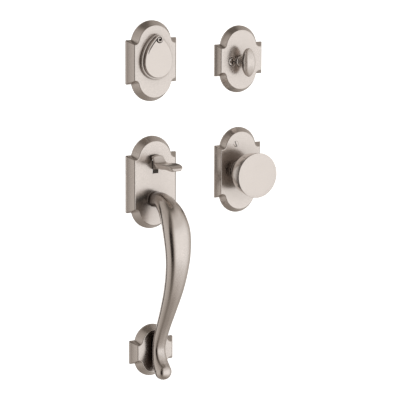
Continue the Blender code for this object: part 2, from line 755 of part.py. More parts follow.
def clip_ring(name, station, inner, low, high, up=0.0):
    """Open retaining ring with its mouth at the bottom."""
    clip = turned(name, ring_profile(inner, inner + CLIP_WIDTH, low, high), station,
                  (0.0, up, 0.0), SMALL_ROUND_STEPS)
    half = CLIP_MOUTH / 2
    cut(clip, cutter(name + "_mouth", box_mesh(
        name + "_mouth", (-half, up - inner - 2 * CLIP_WIDTH, low - OVERCUT),
        (half, up, high + OVERCUT)), station))
    return finish(clip, SPRING_STEEL, 0.35)


def rounded_box_outline(half_across, half_up, corner):
    outline = []
    for side_across, side_up, start in ((1, 1, 0), (-1, 1, 90), (-1, -1, 180), (1, -1, 270)):
        outline += arc(side_across * (half_across - corner), side_up * (half_up - corner),
                       corner, start, start + 90, 3)
    return outline


def build_turn(station):
    rose = inside_plate("turn_rose", station, (
        TURN_PLATE_HALF_WIDTH, TURN_PLATE_EAR, TURN_PLATE_HALF_HEIGHT, TURN_PLATE_ARCH),
        TURN_PLATE_RAISE)
    stem_hole = TURN_BUSHING_STEM + FIT
    bore(rose, "turn_rose_bore", stem_hole, INSIDE_POCKET, INSIDE_DEPTH, station)
    head_front = INSIDE_DEPTH - FIT
    slope = (TURN_SCREW_HEAD - TURN_SCREW_RADIUS) / TURN_SCREW_HEAD_DEPTH
    sink_low = INSIDE_POCKET - OVERCUT
    sink_high = INSIDE_DEPTH + OVERCUT
    clear = FIT * math.hypot(1.0, slope)
    low_radius = TURN_SCREW_HEAD - slope * (head_front - sink_low) + clear
    high_radius = TURN_SCREW_HEAD + slope * (sink_high - head_front) + clear
    for name, side in (("left", -1), ("right", 1)):
        across = side * TURN_SCREW_SPACING / 2
        cut(rose, cutter("turn_sink_" + name, rod_mesh(
            "turn_sink_" + name, low_radius, sink_low, sink_high, across, top=high_radius), station))
        countersunk_screw("turn_screw_" + name, station, across, head_front)
    finish(rose, SATIN_NICKEL, 0.34)

    bushing_back = INSIDE_DEPTH + FIT
    bushing_front = bushing_back + TURN_BUSHING_HEIGHT
    inner = TURN_SPINDLE_RADIUS + RUNNING_FIT
    ease = TURN_BUSHING_EASE
    bushing = turned("turn_bushing", [
        (inner, bushing_front), (TURN_BUSHING_TOP - ease, bushing_front),
        (TURN_BUSHING_TOP, bushing_front - ease),
        (TURN_BUSHING_TOP + ease / 3, bushing_back + TURN_BUSHING_HEIGHT * 0.46),
        (TURN_BUSHING_BASE - 2 * ease, bushing_back + TURN_BUSHING_HEIGHT * 0.29),
        (TURN_BUSHING_BASE, bushing_back + TURN_BUSHING_HEIGHT * 0.18),
        (TURN_BUSHING_BASE, bushing_back), (TURN_BUSHING_STEM, bushing_back),
        (TURN_BUSHING_STEM, INSIDE_POCKET), (inner, INSIDE_POCKET), (inner, bushing_front)],
        station, steps=20)
    finish(bushing, SATIN_NICKEL, 0.34)

    # The turn is a flat oval grip with a groove behind its front rim. Its ends bend back, and its
    # sides are drawn in to the neck
    base = bushing_front + FIT
    sections = ((0.0, 0.28, 0.64, 0.0), (0.03, 0.40, 0.66, 0.0), (0.10, 0.58, 0.68, 0.06),
                (0.22, 0.74, 0.76, 0.18), (0.38, 0.87, 0.83, 0.38), (0.55, 0.95, 0.90, 0.62),
                (0.71, 0.985, 0.945, 0.85), (0.74, 0.975, 0.92, 0.87), (0.77, 1.0, 0.985, 0.93),
                (0.86, 1.0, 1.0, 1.0), (0.92, 0.97, 0.93, 0.98), (0.96, 0.80, 0.70, 0.75),
                (0.985, 0.50, 0.40, 0.40), (1.0, 0.20, 0.15, 0.10))
    rings = []
    for share, tall, wide, bend in sections:
        half_height = TURN_HALF_HEIGHT * tall
        ring = ellipse_ring(TURN_HALF_WIDTH * wide, half_height, base + TURN_LENGTH * share, 18)
        rings.append([(across, up, out - TURN_BEND * bend * (up / half_height) ** 2)
                      for across, up, out in ring])
    knob = add_object("turn_piece", loft("turn_piece", rings), station, (0.0, 0.0, base))
    bore(knob, "turn_socket", TURN_SPINDLE_RADIUS + FIT, base, base + TURN_SOCKET_DEPTH + FIT,
         station, blind=True)
    finish(knob, SATIN_NICKEL, 0.3, sharp=50)

    spindle = turned("turn_spindle", [
        (0.0, base + TURN_SOCKET_DEPTH), (TURN_SPINDLE_RADIUS, base + TURN_SOCKET_DEPTH),
        (TURN_SPINDLE_RADIUS, -TURN_SPINDLE_REAR), (0.0, -TURN_SPINDLE_REAR)],
        station, steps=SMALL_ROUND_STEPS)
    past = TURN_SPINDLE_RADIUS + OVERCUT
    cut(spindle, cutter("spindle_slot", box_mesh(
        "spindle_slot", (-TURN_SPINDLE_SLOT / 2, -past, -TURN_SPINDLE_REAR - OVERCUT),
        (TURN_SPINDLE_SLOT / 2, past, -TURN_SPINDLE_REAR + TURN_SPINDLE_SLOT_DEPTH)), station))
    finish(spindle, STEEL, 0.35)

    clip_high = INSIDE_POCKET - FIT
    clip_ring("turn_clip", station, TURN_SPINDLE_RADIUS + FIT, clip_high - CLIP_THICK, clip_high)

    plate = add_object("turn_steel_plate", prism(
        "turn_steel_plate", rounded_box_outline(
            TURN_STEEL_HALF_WIDTH, TURN_STEEL_HALF_HEIGHT, STEEL_CORNER),
        FIT, FIT + STEEL_PLATE), station, (0.0, 0.0, 0.0))
    bore(plate, "turn_plate_bore", TURN_SPINDLE_RADIUS + 3 * FIT, 0.0, FIT + STEEL_PLATE, station)
    for name, side in (("left", -1), ("right", 1)):
        bore(plate, "turn_plate_hole_" + name, TURN_SCREW_RADIUS + FIT, 0.0, FIT + STEEL_PLATE,
             station, side * TURN_SCREW_SPACING / 2)
    finish(plate, STEEL, 0.4)


# Handle plate, thumbpiece and pull

# Stations from the hood to the tip, as shares of THUMB_REACH, of THUMB_HOOD_UP for the top and
# the bottom and of THUMB_HALF_WIDTH, with the top's crown as a share of its own half width
THUMB_STATIONS = (
    (0.230, 0.966, 0.814, 0.683, 0.17), (0.270, 0.968, 0.760, 0.693, 0.17),
    (0.305, 0.960, 0.723, 0.693, 0.16), (0.321, 0.911, 0.709, 0.733, 0.10),
    (0.333, 0.840, 0.694, 0.782, 0.04), (0.348, 0.791, 0.680, 0.832, 0.00),
    (0.373, 0.769, 0.660, 0.901, -0.03), (0.421, 0.766, 0.631, 0.970, -0.05),
    (0.476, 0.774, 0.614, 1.000, -0.06), (0.571, 0.797, 0.606, 0.980, -0.07),
    (0.714, 0.823, 0.631, 0.970, -0.07), (0.825, 0.820, 0.634, 0.960, -0.06),
    (0.905, 0.800, 0.623, 0.921, -0.05), (0.962, 0.769, 0.620, 0.812, -0.03),
    (0.990, 0.729, 0.634, 0.673, 0.00), (1.000, 0.697, 0.657, 0.515, 0.00))

# Side profile of the neck behind it, as shares of THUMB_REACH and THUMB_HOOD_UP
THUMB_NECK = ((0.190, 0.494), (0.286, 0.520), (0.476, 0.643), (0.476, 0.686), (0.317, 0.771),
              (0.235, 0.843), (0.175, 0.794))


def thumb_ring(out, top, bottom, half_width, crown):
    """Cross-section of the thumb rest: crowned or dished on top and narrower below."""
    edge = min(THUMB_EDGE, (top - bottom) * 0.3)
    wide = half_width
    low = half_width * 0.82
    return [(wide, top - edge, out), (wide - edge * 0.7, top, out),
            (wide * 0.5, top + crown * 0.75, out), (0.0, top + crown, out),
            (-wide * 0.5, top + crown * 0.75, out), (-wide + edge * 0.7, top, out),
            (-wide, top - edge, out), (-low, bottom + edge, out), (-low + edge, bottom, out),
            (0.0, bottom, out), (low - edge, bottom, out), (low, bottom + edge, out)]


def build_thumbpiece(station):
    pivot = (0.0, THUMB_PIN_UP, THUMB_PIN_OUT)
    rings = []
    for out, top, bottom, wide, crown in THUMB_STATIONS:
        half_width = THUMB_HALF_WIDTH * wide
        rings.append(thumb_ring(THUMB_REACH * out, THUMB_HOOD_UP * top, THUMB_HOOD_UP * bottom,
                                half_width, half_width * crown))
    thumb = add_object("thumbpiece", loft("thumbpiece", rings), station, pivot)

    # Neck through the slot, as a side profile in (out, up) swept across
    half = THUMB_SLOT_WIDTH / 2 - SLOT_PLAY
    shoulder = THUMB_HUB_RADIUS * 0.88
    profile = [(THUMB_PIN_OUT, THUMB_PIN_UP - shoulder)]
    profile += [(THUMB_REACH * out, THUMB_HOOD_UP * up) for out, up in THUMB_NECK]
    profile.append((THUMB_PIN_OUT, THUMB_PIN_UP + shoulder))
    neck = loft("thumb_neck", [[(side, up, out) for out, up in profile] for side in (-half, half)])
    join(thumb, cutter("thumb_neck", neck, station))
    join(thumb, cutter("thumb_hub", cross_rod_mesh(
        "thumb_hub", THUMB_HUB_RADIUS, -half, half, THUMB_PIN_UP, THUMB_PIN_OUT), station))
    tail_top = THUMB_PIN_UP + THUMB_TAIL_THICK / 2
    join(thumb, cutter("thumb_tail", box_mesh(
        "thumb_tail", (-THUMB_TAIL_WIDTH / 2, THUMB_PIN_UP - THUMB_TAIL_THICK / 2, -THUMB_TAIL_REAR),
        (THUMB_TAIL_WIDTH / 2, tail_top, THUMB_PIN_OUT)), station))
    cut(thumb, cutter("thumb_bore", cross_rod_mesh(
        "thumb_bore", THUMB_PIN_RADIUS + RUNNING_FIT, -half - OVERCUT, half + OVERCUT,
        THUMB_PIN_UP, THUMB_PIN_OUT), station))
    finish(thumb, SATIN_NICKEL, 0.3, sharp=40)

    reach = THUMB_LUG_INNER + THUMB_LUG_THICK + 2 * FIT
    pin = add_object("thumb_pivot_pin", cross_rod_mesh(
        "thumb_pivot_pin", THUMB_PIN_RADIUS, -reach, reach, THUMB_PIN_UP, THUMB_PIN_OUT),
        station, pivot)
    finish(pin, STEEL, 0.35)

    # The coil stands on the tail, under the ledge between the plate's lugs
    low = tail_top + FIT + SPRING_WIRE / 2
    high = THUMB_LEDGE_UP - FIT - SPRING_WIRE / 2
    per_turn = 8
    points = []
    total = per_turn * SPRING_TURNS
    for i in range(total + 1):
        angle = 2 * math.pi * i / per_turn
        points.append((SPRING_RADIUS * math.cos(angle), low + (high - low) * i / total,
                       SPRING_RADIUS * math.sin(angle) - SPRING_BEHIND))
    spring = add_object("thumb_return_spring", tube_mesh(
        "thumb_return_spring", points, SPRING_WIRE / 2, resolution=1), station,
        (0.0, THUMB_LEDGE_UP - FIT, -SPRING_BEHIND))
    finish(spring, SPRING_STEEL, 0.35)


def smooth_line(points, steps):
    """Catmull-Rom curve through points of any size, ends included."""
    count = len(points)
    line = []
    for i in range(count - 1):
        before = points[max(i - 1, 0)]
        after = points[min(i + 2, count - 1)]
        for k in range(steps):
            t = k / steps
            line.append(tuple(
                0.5 * (2 * b + (c - a) * t + (2 * a - 5 * b + 4 * c - d) * t ** 2
                       + (3 * b - a - 3 * c + d) * t ** 3)
                for a, b, c, d in zip(before, points[i], points[i + 1], after)))
    line.append(tuple(points[-1]))
    return line


# Stations of the pull from below its root to its ball end, as shares of PULL_PROJECTION, of
# PULL_LENGTH below the root, of PULL_HALF_WIDTH and of PULL_HALF_THICK
PULL_STATIONS = (
    (0.426, 0.0005, 0.602, 0.785), (0.636, 0.0281, 0.756, 0.908), (0.812, 0.0761, 0.909, 1.000),
    (0.949, 0.1555, 1.000, 1.000), (1.000, 0.2649, 0.932, 0.923), (0.964, 0.3709, 0.830, 0.846),
    (0.845, 0.4941, 0.716, 0.762), (0.650, 0.6263, 0.597, 0.646), (0.465, 0.7394, 0.523, 0.569),
    (0.341, 0.8307, 0.489, 0.531), (PULL_LOW_SHARE, 0.8854, 0.477, 0.523),
    (0.344, 0.9353, 0.528, 0.608), (0.406, 0.9748, 0.580, 0.723), (0.474, 1.0000, 0.585, 0.777))
PULL_ROOT_WIDTHS = ((0.560, 0.738), (0.545, 0.723))


def pull_line():
    """Stations of the pull: out, up, half width and half thickness."""
    root = OUTSIDE_DEPTH + FIT
    line = [(out, PULL_ROOT_UP, PULL_HALF_WIDTH * wide, PULL_HALF_THICK * thick)
            for out, (wide, thick) in zip((root, root + PULL_ROOT_COLLAR), PULL_ROOT_WIDTHS)]
    for out, down, wide, thick in PULL_STATIONS:
        line.append((PULL_PROJECTION * out, PULL_ROOT_UP - PULL_LENGTH * down,
                     PULL_HALF_WIDTH * wide, PULL_HALF_THICK * thick))
    return line


def pull_rings(steps_along, steps_round):
    stations = smooth_line(pull_line(), steps_along)
    rings = []
    for i, (out, up, wide, thick) in enumerate(stations):
        near = stations[max(i - 1, 0)]
        far = stations[min(i + 1, len(stations) - 1)]
        run = Vector((0.0, far[1] - near[1], far[0] - near[0])).normalized()
        if i == 0:
            run = Vector((0.0, 0.0, 1.0))
        normal = Vector((0.0, run.z, -run.y))
        ring = []
        for k in range(steps_round):
            angle = 2 * math.pi * k / steps_round
            spot = (Vector((0.0, up, out)) + normal * thick * math.sin(angle)
                    + Vector((wide * math.cos(angle), 0.0, 0.0)))
            ring.append(tuple(spot))
        rings.append(ring)
    # Round end, turned out and away from the door
    out, up, wide, thick = stations[-1]
    middle = Vector((0.0, up, out))
    for angle in (25, 48, 68, 83):
        lean = math.radians(angle)
        centre = middle + run * thick * math.sin(lean)
        shrink = math.cos(lean)
        ring = []
        for k in range(steps_round):
            turn = 2 * math.pi * k / steps_round
            spot = (centre + normal * thick * shrink * math.sin(turn)
                    + Vector((wide * shrink * math.cos(turn), 0.0, 0.0)))
            ring.append(tuple(spot))
        rings.append(ring)
    return rings


def build_handle(station):
    plate = outside_plate("handle_plate", station, (
        HANDLE_PLATE_HALF_WIDTH, HANDLE_PLATE_EAR, HANDLE_PLATE_HALF_HEIGHT, HANDLE_PLATE_ARCH))
    pocket_side, _ = pocket_insets(OUTSIDE_DEPTH, OUTSIDE_RIM, OUTSIDE_SIDE_BEVEL,
                                   OUTSIDE_ARCH_BEVEL, OUTSIDE_FACE_WALL)
    web_reach = HANDLE_PLATE_HALF_WIDTH - pocket_side + POCKET_WALL / 2
    join(plate, cutter("handle_web", box_mesh(
        "handle_web", (-web_reach, -WEB_HALF_HEIGHT, 0.0),
        (web_reach, WEB_HALF_HEIGHT, OUTSIDE_POCKET + OVERCUT)), station))
    lug_outer = THUMB_LUG_INNER + THUMB_LUG_THICK
    ledge_top = THUMB_LEDGE_UP + THUMB_LEDGE_THICK
    for name, side in (("left", -1), ("right", 1)):
        edges = sorted((side * THUMB_LUG_INNER, side * lug_outer))
        join(plate, cutter("lug_" + name, box_mesh(
            "lug_" + name, (edges[0], THUMB_LUG_LOW, -THUMB_LEDGE_REAR),
            (edges[1], ledge_top, OUTSIDE_POCKET + OVERCUT)), station))
    join(plate, cutter("spring_ledge", box_mesh(
        "spring_ledge", (-lug_outer, THUMB_LEDGE_UP, -THUMB_LEDGE_REAR),
        (lug_outer, ledge_top, THUMB_PIN_OUT - THUMB_HUB_RADIUS)), station))
    past = lug_outer + OVERCUT
    cut(plate, cutter("lug_bore", cross_rod_mesh(
        "lug_bore", THUMB_PIN_RADIUS + FIT, -past, past, THUMB_PIN_UP, THUMB_PIN_OUT), station))
    cut(plate, cutter("thumb_slot", box_mesh(
        "thumb_slot", (-THUMB_SLOT_WIDTH / 2, THUMB_SLOT_LOW, OUTSIDE_POCKET - OVERCUT),
        (THUMB_SLOT_WIDTH / 2, THUMB_SLOT_HIGH, OUTSIDE_DEPTH + OVERCUT)), station))
    bore(plate, "pull_bolt_hole", PULL_BOLT_RADIUS + FIT, OUTSIDE_POCKET, OUTSIDE_DEPTH, station,
         up=PULL_ROOT_UP)
    finish(plate, SATIN_NICKEL, 0.34)

    for name, side in (("handle_stud_left", -1), ("handle_stud_right", 1)):
        stud = turned(name, ring_profile(
            HANDLE_STUD_BORE, HANDLE_STUD_RADIUS, -HANDLE_STUD_REAR, OUTSIDE_POCKET - FIT),
            station, (side * HANDLE_STUD_SPACING / 2, HANDLE_STUD_UP, 0.0), SMALL_ROUND_STEPS)
        finish(stud, BRASS, 0.35)

    build_thumbpiece(station)

    pull = add_object("pull_handle", loft("pull_handle", pull_rings(2, 18)), station, (0.0, 0.0, 0.0))
    foot_face = OUTSIDE_DEPTH + FIT
    post_top = PULL_PROJECTION * PULL_LOW_SHARE
    rings = [ellipse_ring(FOOT_POST_HALF_WIDTH * wide, FOOT_POST_HALF_HEIGHT * tall, out, 18,
                          middle=(0.0, -FOOT_DOWN))
             for wide, tall, out in ((1.0, 1.0, foot_face), (0.92, 0.94, foot_face + OVERCUT),
                                     (0.90, 0.90, post_top))]
    join(pull, cutter("foot_post", loft("foot_post", rings), station))
    bore(pull, "pull_root_bore", PULL_BOLT_RADIUS + FIT, OUTSIDE_DEPTH,
         OUTSIDE_DEPTH + PULL_BOLT_REACH + FIT, station, up=PULL_ROOT_UP, blind=True)
    bore(pull, "pull_foot_bore", FOOT_BOLT_RADIUS + FIT, OUTSIDE_DEPTH,
         OUTSIDE_DEPTH + FOOT_BOLT_REACH + FIT, station, up=-FOOT_DOWN, blind=True)
    finish(pull, SATIN_NICKEL, 0.3, sharp=40)

    bolt_from_behind("pull_bolt", station, PULL_ROOT_UP, PULL_BOLT_RADIUS, PULL_BOLT_REACH)


def bolt_from_behind(name, station, up, radius, reach):
    """Bolt with its hexagon head in the plate's pocket and its shank in the pull."""
    head_front = OUTSIDE_POCKET - FIT
    bolt = add_object(name, rod_mesh(
        name, PULL_BOLT_HEAD, head_front - PULL_BOLT_HEAD_DEPTH, head_front, 0.0, up, steps=6),
        station, (0.0, up, 0.0))
    shank = rod_mesh(name + "_shank", radius, head_front - OVERCUT, OUTSIDE_DEPTH + reach, 0.0, up)
    join(bolt, cutter(name + "_shank", shank, station))
    return finish(bolt, STEEL, 0.4)


def build_foot(station):
    rose = outside_plate("foot_rose", station, (
        FOOT_PLATE_HALF_WIDTH, FOOT_PLATE_EAR, FOOT_PLATE_HALF_HEIGHT, FOOT_PLATE_ARCH))
    bore(rose, "foot_bolt_hole", FOOT_BOLT_RADIUS + FIT, OUTSIDE_POCKET, OUTSIDE_DEPTH, station)
    finish(rose, SATIN_NICKEL, 0.34)
    bolt_from_behind("foot_bolt", station, 0.0, FOOT_BOLT_RADIUS, FOOT_BOLT_REACH)


# Inside knob

def build_knob(station):
    rose = inside_plate("knob_rose", station, (
        KNOB_PLATE_HALF_WIDTH, KNOB_PLATE_EAR, KNOB_PLATE_HALF_HEIGHT, KNOB_PLATE_ARCH),
        KNOB_PLATE_RAISE)
    bore(rose, "knob_rose_bore", KNOB_BUSHING_RADIUS + FIT, INSIDE_POCKET, INSIDE_DEPTH, station,
         steps=ROUND_STEPS)
    bore(rose, "lock_screw_hole", LOCK_SCREW_RADIUS + FIT, INSIDE_POCKET, INSIDE_DEPTH, station,
         LOCK_SCREW_ACROSS, LOCK_SCREW_UP)
    finish(rose, SATIN_NICKEL, 0.34)

    screw = add_object("rose_lock_screw", rod_mesh(
        "rose_lock_screw", LOCK_SCREW_RADIUS, INSIDE_DEPTH - LOCK_SCREW_LENGTH, INSIDE_DEPTH,
        LOCK_SCREW_ACROSS, LOCK_SCREW_UP), station, (LOCK_SCREW_ACROSS, LOCK_SCREW_UP, 0.0))
    past = LOCK_SCREW_RADIUS + OVERCUT
    slot = box_mesh("lock_screw_slot", (-LOCK_SCREW_SLOT / 2, -past, INSIDE_DEPTH - 0.3 * LOCK_SCREW_RADIUS),
                    (LOCK_SCREW_SLOT / 2, past, INSIDE_DEPTH + OVERCUT))
    slot.transform(Matrix.Rotation(math.radians(LOCK_SCREW_LEAN), 4, "Z"))
    slot.transform(Matrix.Translation((LOCK_SCREW_ACROSS, LOCK_SCREW_UP, 0.0)))
    cut(screw, cutter("lock_screw_slot", slot, station))
    finish(screw, SATIN_NICKEL, 0.34)

    bushing_back = INSIDE_DEPTH + FIT
    bushing_front = bushing_back + KNOB_BUSHING_FLANGE_DEPTH
    inner = KNOB_SHANK_RADIUS + RUNNING_FIT
    ease = KNOB_BUSHING_EASE
    bushing = turned("knob_bushing", [
        (inner, bushing_front), (KNOB_BUSHING_FLANGE - ease, bushing_front),
        (KNOB_BUSHING_FLANGE, bushing_front - ease), (KNOB_BUSHING_FLANGE, bushing_back),
        (KNOB_BUSHING_RADIUS, bushing_back), (KNOB_BUSHING_RADIUS, INSIDE_POCKET),
        (inner, INSIDE_POCKET), (inner, bushing_front)], station)
    finish(bushing, SATIN_NICKEL, 0.34)

    # Drum knob: flat face with a groove behind its rim, sides drawn in to a rounded back
    radius = KNOB_RADIUS
    front = KNOB_FRONT
    clip_low = INSIDE_POCKET - FIT - CLIP_THICK - FIT
    clip_high = INSIDE_POCKET
    groove = KNOB_SHANK_RADIUS - KNOB_CLIP_GROOVE
    back = KNOB_BACK
    drum = front - back
    knob = turned("knob", [
        (0.0, front), (radius * 0.89, front - drum * 0.007), (radius * 0.97, front - drum * 0.03),
        (radius, front - drum * 0.08), (radius, front - drum * 0.12),
        (radius * 0.97, front - drum * 0.137), (radius * 0.97, front - drum * 0.163),
        (radius * 0.993, front - drum * 0.178), (radius * 0.90, back + drum * 0.273),
        (radius * 0.77, back + drum * 0.145), (radius * 0.64, back + drum * 0.047),
        (radius * 0.53, back), (KNOB_SHANK_RADIUS * 1.09, back - drum * 0.058),
        (KNOB_SHANK_RADIUS, back - drum * 0.13), (KNOB_SHANK_RADIUS, clip_high),
        (groove, clip_high), (groove, clip_low), (KNOB_SHANK_RADIUS, clip_low),
        (KNOB_SHANK_RADIUS, KNOB_SHANK_REAR), (0.0, KNOB_SHANK_REAR)],
        station, steps=KNOB_STEPS)
    side = KNOB_SPINDLE_SIDE / 2 + FIT
    socket_top = KNOB_SHANK_REAR + KNOB_SOCKET_DEPTH
    cut(knob, cutter("knob_socket", box_mesh(
        "knob_socket", (-side, -side, KNOB_SHANK_REAR - OVERCUT), (side, side, socket_top + FIT)),
        station))
    finish(knob, SATIN_NICKEL, 0.3, sharp=28)

    half = KNOB_SPINDLE_SIDE / 2
    spindle = add_object("knob_spindle", box_mesh(
        "knob_spindle", (-half, -half, -KNOB_SPINDLE_REAR), (half, half, socket_top)),
        station, (0.0, 0.0, 0.0))
    finish(spindle, STEEL, 0.35)

    clip_ring("knob_clip", station, groove + FIT, INSIDE_POCKET - FIT - CLIP_THICK,
              INSIDE_POCKET - FIT)

    plate = add_object("knob_steel_plate", prism(
        "knob_steel_plate", rounded_box_outline(
            KNOB_STEEL_HALF_WIDTH, KNOB_STEEL_HALF_HEIGHT, STEEL_CORNER),
        FIT, FIT + STEEL_PLATE), station, (0.0, 0.0, 0.0))
    bore(plate, "knob_plate_bore", KNOB_SHANK_RADIUS + 3 * FIT, 0.0, FIT + STEEL_PLATE, station,
         steps=ROUND_STEPS)
    finish(plate, STEEL, 0.4)

    bolt_head_low = 2 * FIT + STEEL_PLATE
    for name, side in (("knob_bolt_left", -1), ("knob_bolt_right", 1)):
        across = side * KNOB_BOLT_SPACING / 2
        bore(plate, name + "_hole", KNOB_BOLT_RADIUS + FIT, 0.0, FIT + STEEL_PLATE, station, across)
        bolt = turned(name, [
            (0.0, bolt_head_low + KNOB_BOLT_HEAD_DEPTH),
            (KNOB_BOLT_HEAD * 0.7, bolt_head_low + KNOB_BOLT_HEAD_DEPTH),
            (KNOB_BOLT_HEAD, bolt_head_low + KNOB_BOLT_HEAD_DEPTH * 0.4),
            (KNOB_BOLT_HEAD, bolt_head_low), (KNOB_BOLT_RADIUS, bolt_head_low),
            (KNOB_BOLT_RADIUS, -KNOB_BOLT_REAR), (0.0, -KNOB_BOLT_REAR)],
            station, (across, 0.0, 0.0), SMALL_ROUND_STEPS)
        finish(bolt, STEEL, 0.4)

    build_return_cage(station)


def build_return_cage(station):
    """Cup in the door's bore, with the cam on the spindle and its torsion spring inside."""
    mouth = -FIT
    floor = mouth - CAGE_DEPTH
    hole = KNOB_SPINDLE_SIDE / 2 * math.sqrt(2) + 2 * FIT
    inner = CAGE_RADIUS - CAGE_WALL
    cage = turned("return_cage", [
        (inner, mouth), (CAGE_RADIUS, mouth), (CAGE_RADIUS, floor), (hole, floor),
        (hole, floor + CAGE_WALL), (inner, floor + CAGE_WALL), (inner, mouth)], station, steps=20)
    finish(cage, STEEL, 0.4)

    top = mouth - 3 * FIT
    disc_low = top - CAM_DISC_THICK
    cam = turned("return_cam", [
        (0.0, top), (CAM_DISC_RADIUS, top), (CAM_DISC_RADIUS, disc_low), (CAM_HUB_RADIUS, disc_low),
        (CAM_HUB_RADIUS, top - CAM_HUB_LENGTH), (0.0, top - CAM_HUB_LENGTH)],
        station, steps=24)
    side = KNOB_SPINDLE_SIDE / 2 + FIT
    cut(cam, cutter("cam_bore", box_mesh(
        "cam_bore", (-side, -side, top - CAM_HUB_LENGTH - OVERCUT), (side, side, top + OVERCUT)),
        station))
    finish(cam, STEEL, 0.35)

    coil = CAM_HUB_RADIUS + RETURN_WIRE / 2 + 3 * FIT
    per_turn = 10
    high = disc_low - FIT - RETURN_WIRE / 2
    low = floor + CAGE_WALL + FIT + RETURN_WIRE / 2
    drop = (high - low) / RETURN_TURNS
    leg = inner - FIT - RETURN_WIRE / 2
    lean = math.radians(RETURN_LEG_ANGLE)
    spread = math.radians(10)
    points = [(leg * math.cos(lean + spread), leg * math.sin(lean + spread), high)]
    for i in range(per_turn * RETURN_TURNS + 1):
        angle = lean - 2 * math.pi * i / per_turn
        points.append((coil * math.cos(angle), coil * math.sin(angle), high - drop * i / per_turn))
    points.append((leg * math.cos(lean - spread), leg * math.sin(lean - spread), low))
    spring = add_object("knob_return_spring", tube_mesh(
        "knob_return_spring", points, RETURN_WIRE / 2, resolution=1), station, (0.0, 0.0, 0.0))
    finish(spring, SPRING_STEEL, 0.35)


build_cylinder(make_station("cylinder_station", 0.0, CYLINDER_UP))
build_handle(make_station("handle_station", 0.0, 0.0))
build_foot(make_station("foot_station", 0.0, -FOOT_DOWN))
build_turn(make_station("turn_station", INSIDE_ACROSS, TURN_UP))
build_knob(make_station("knob_station", INSIDE_ACROSS, KNOB_UP))
bpy.context.view_layer.update()
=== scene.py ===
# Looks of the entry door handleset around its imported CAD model.
# The scene is in metres, in the CAD frame: +X across, +Y into the door, +Z up. Shapes are
# worked out in millimetres as (across, up, out) from the middle of their own plate.
import json
import math

import bmesh
import bpy
from mathutils import Matrix, Vector


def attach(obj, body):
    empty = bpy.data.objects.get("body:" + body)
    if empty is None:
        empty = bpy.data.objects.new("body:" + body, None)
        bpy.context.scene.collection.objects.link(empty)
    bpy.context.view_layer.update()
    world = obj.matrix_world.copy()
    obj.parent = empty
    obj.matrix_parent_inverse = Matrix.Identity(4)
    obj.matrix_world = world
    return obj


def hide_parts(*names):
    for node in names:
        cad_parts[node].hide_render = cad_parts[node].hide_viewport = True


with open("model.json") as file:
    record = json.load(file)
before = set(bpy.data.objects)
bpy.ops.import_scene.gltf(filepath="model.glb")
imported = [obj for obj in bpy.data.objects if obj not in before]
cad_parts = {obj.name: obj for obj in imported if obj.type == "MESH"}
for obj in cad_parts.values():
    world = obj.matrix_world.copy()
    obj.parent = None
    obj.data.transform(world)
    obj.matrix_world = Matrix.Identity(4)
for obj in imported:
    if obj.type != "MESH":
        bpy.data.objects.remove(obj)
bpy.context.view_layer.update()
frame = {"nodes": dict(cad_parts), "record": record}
nodes = frame["nodes"]
print("frame loaded:", len(nodes), "nodes")


# Camera, floor and light

cameraSetup = {
    "lens": 208.1,            # mm
    "sensorWidth": 36.0,      # mm
    "clipEnd": 100.0,
    "distance": 2.839,
    "azimuth": -31.98,        # degrees, minus is to the left of straight on
    "elevation": 10.45,       # degrees
    "roll": 0.25,             # degrees
    "target": (0.0708, 0.0, -0.0289),
}


def addCamera(setup):
    azimuth = math.radians(setup["azimuth"])
    elevation = math.radians(setup["elevation"])
    back = Vector((math.sin(azimuth) * math.cos(elevation),
                   -math.cos(azimuth) * math.cos(elevation), math.sin(elevation)))
    level = Vector((0.0, 0.0, 1.0)).cross(back).normalized()
    above = back.cross(level)
    roll = math.radians(setup["roll"])
    right = level * math.cos(roll) + above * math.sin(roll)
    up = above * math.cos(roll) - level * math.sin(roll)
    data = bpy.data.cameras.new("camera")
    data.lens = setup["lens"]
    data.sensor_width = setup["sensorWidth"]
    data.clip_end = setup["clipEnd"]
    camera = bpy.data.objects.new("camera", data)
    place = Vector(setup["target"]) + back * setup["distance"]
    turn = Matrix((right, up, back)).transposed().to_4x4()
    camera.matrix_world = Matrix.Translation(place) @ turn
    bpy.context.scene.collection.objects.link(camera)
    bpy.context.scene.camera = camera


def linear(hexColour):
    # sRGB hex to linear RGBA
    channels = [int(hexColour[i:i + 2], 16) / 255 for i in (1, 3, 5)]
    return (*[c / 12.92 if c <= 0.04045 else ((c + 0.055) / 1.055) ** 2.4 for c in channels], 1.0)


def addNode(tree, kind, settings=None, links=None):
    # settings: attribute or input -> value; links: input -> output socket
    node = tree.nodes.new(kind)
    for key, value in (settings or {}).items():
        if isinstance(key, str) and hasattr(node, key):
            setattr(node, key, value)
        else:
            node.inputs[key].default_value = value
    for key, socket in (links or {}).items():
        tree.links.new(socket, node.inputs[key])
    return node


# Sockets of a Mix node that are known by number: its factor, its two colours and their mix
mixShare, mixFirst, mixSecond, mixed = 0, 6, 7, 2


def newMaterial(name):
    material = bpy.data.materials.new(name)
    material.use_nodes = True
    tree = material.node_tree
    return material, tree, tree.nodes["Principled BSDF"]


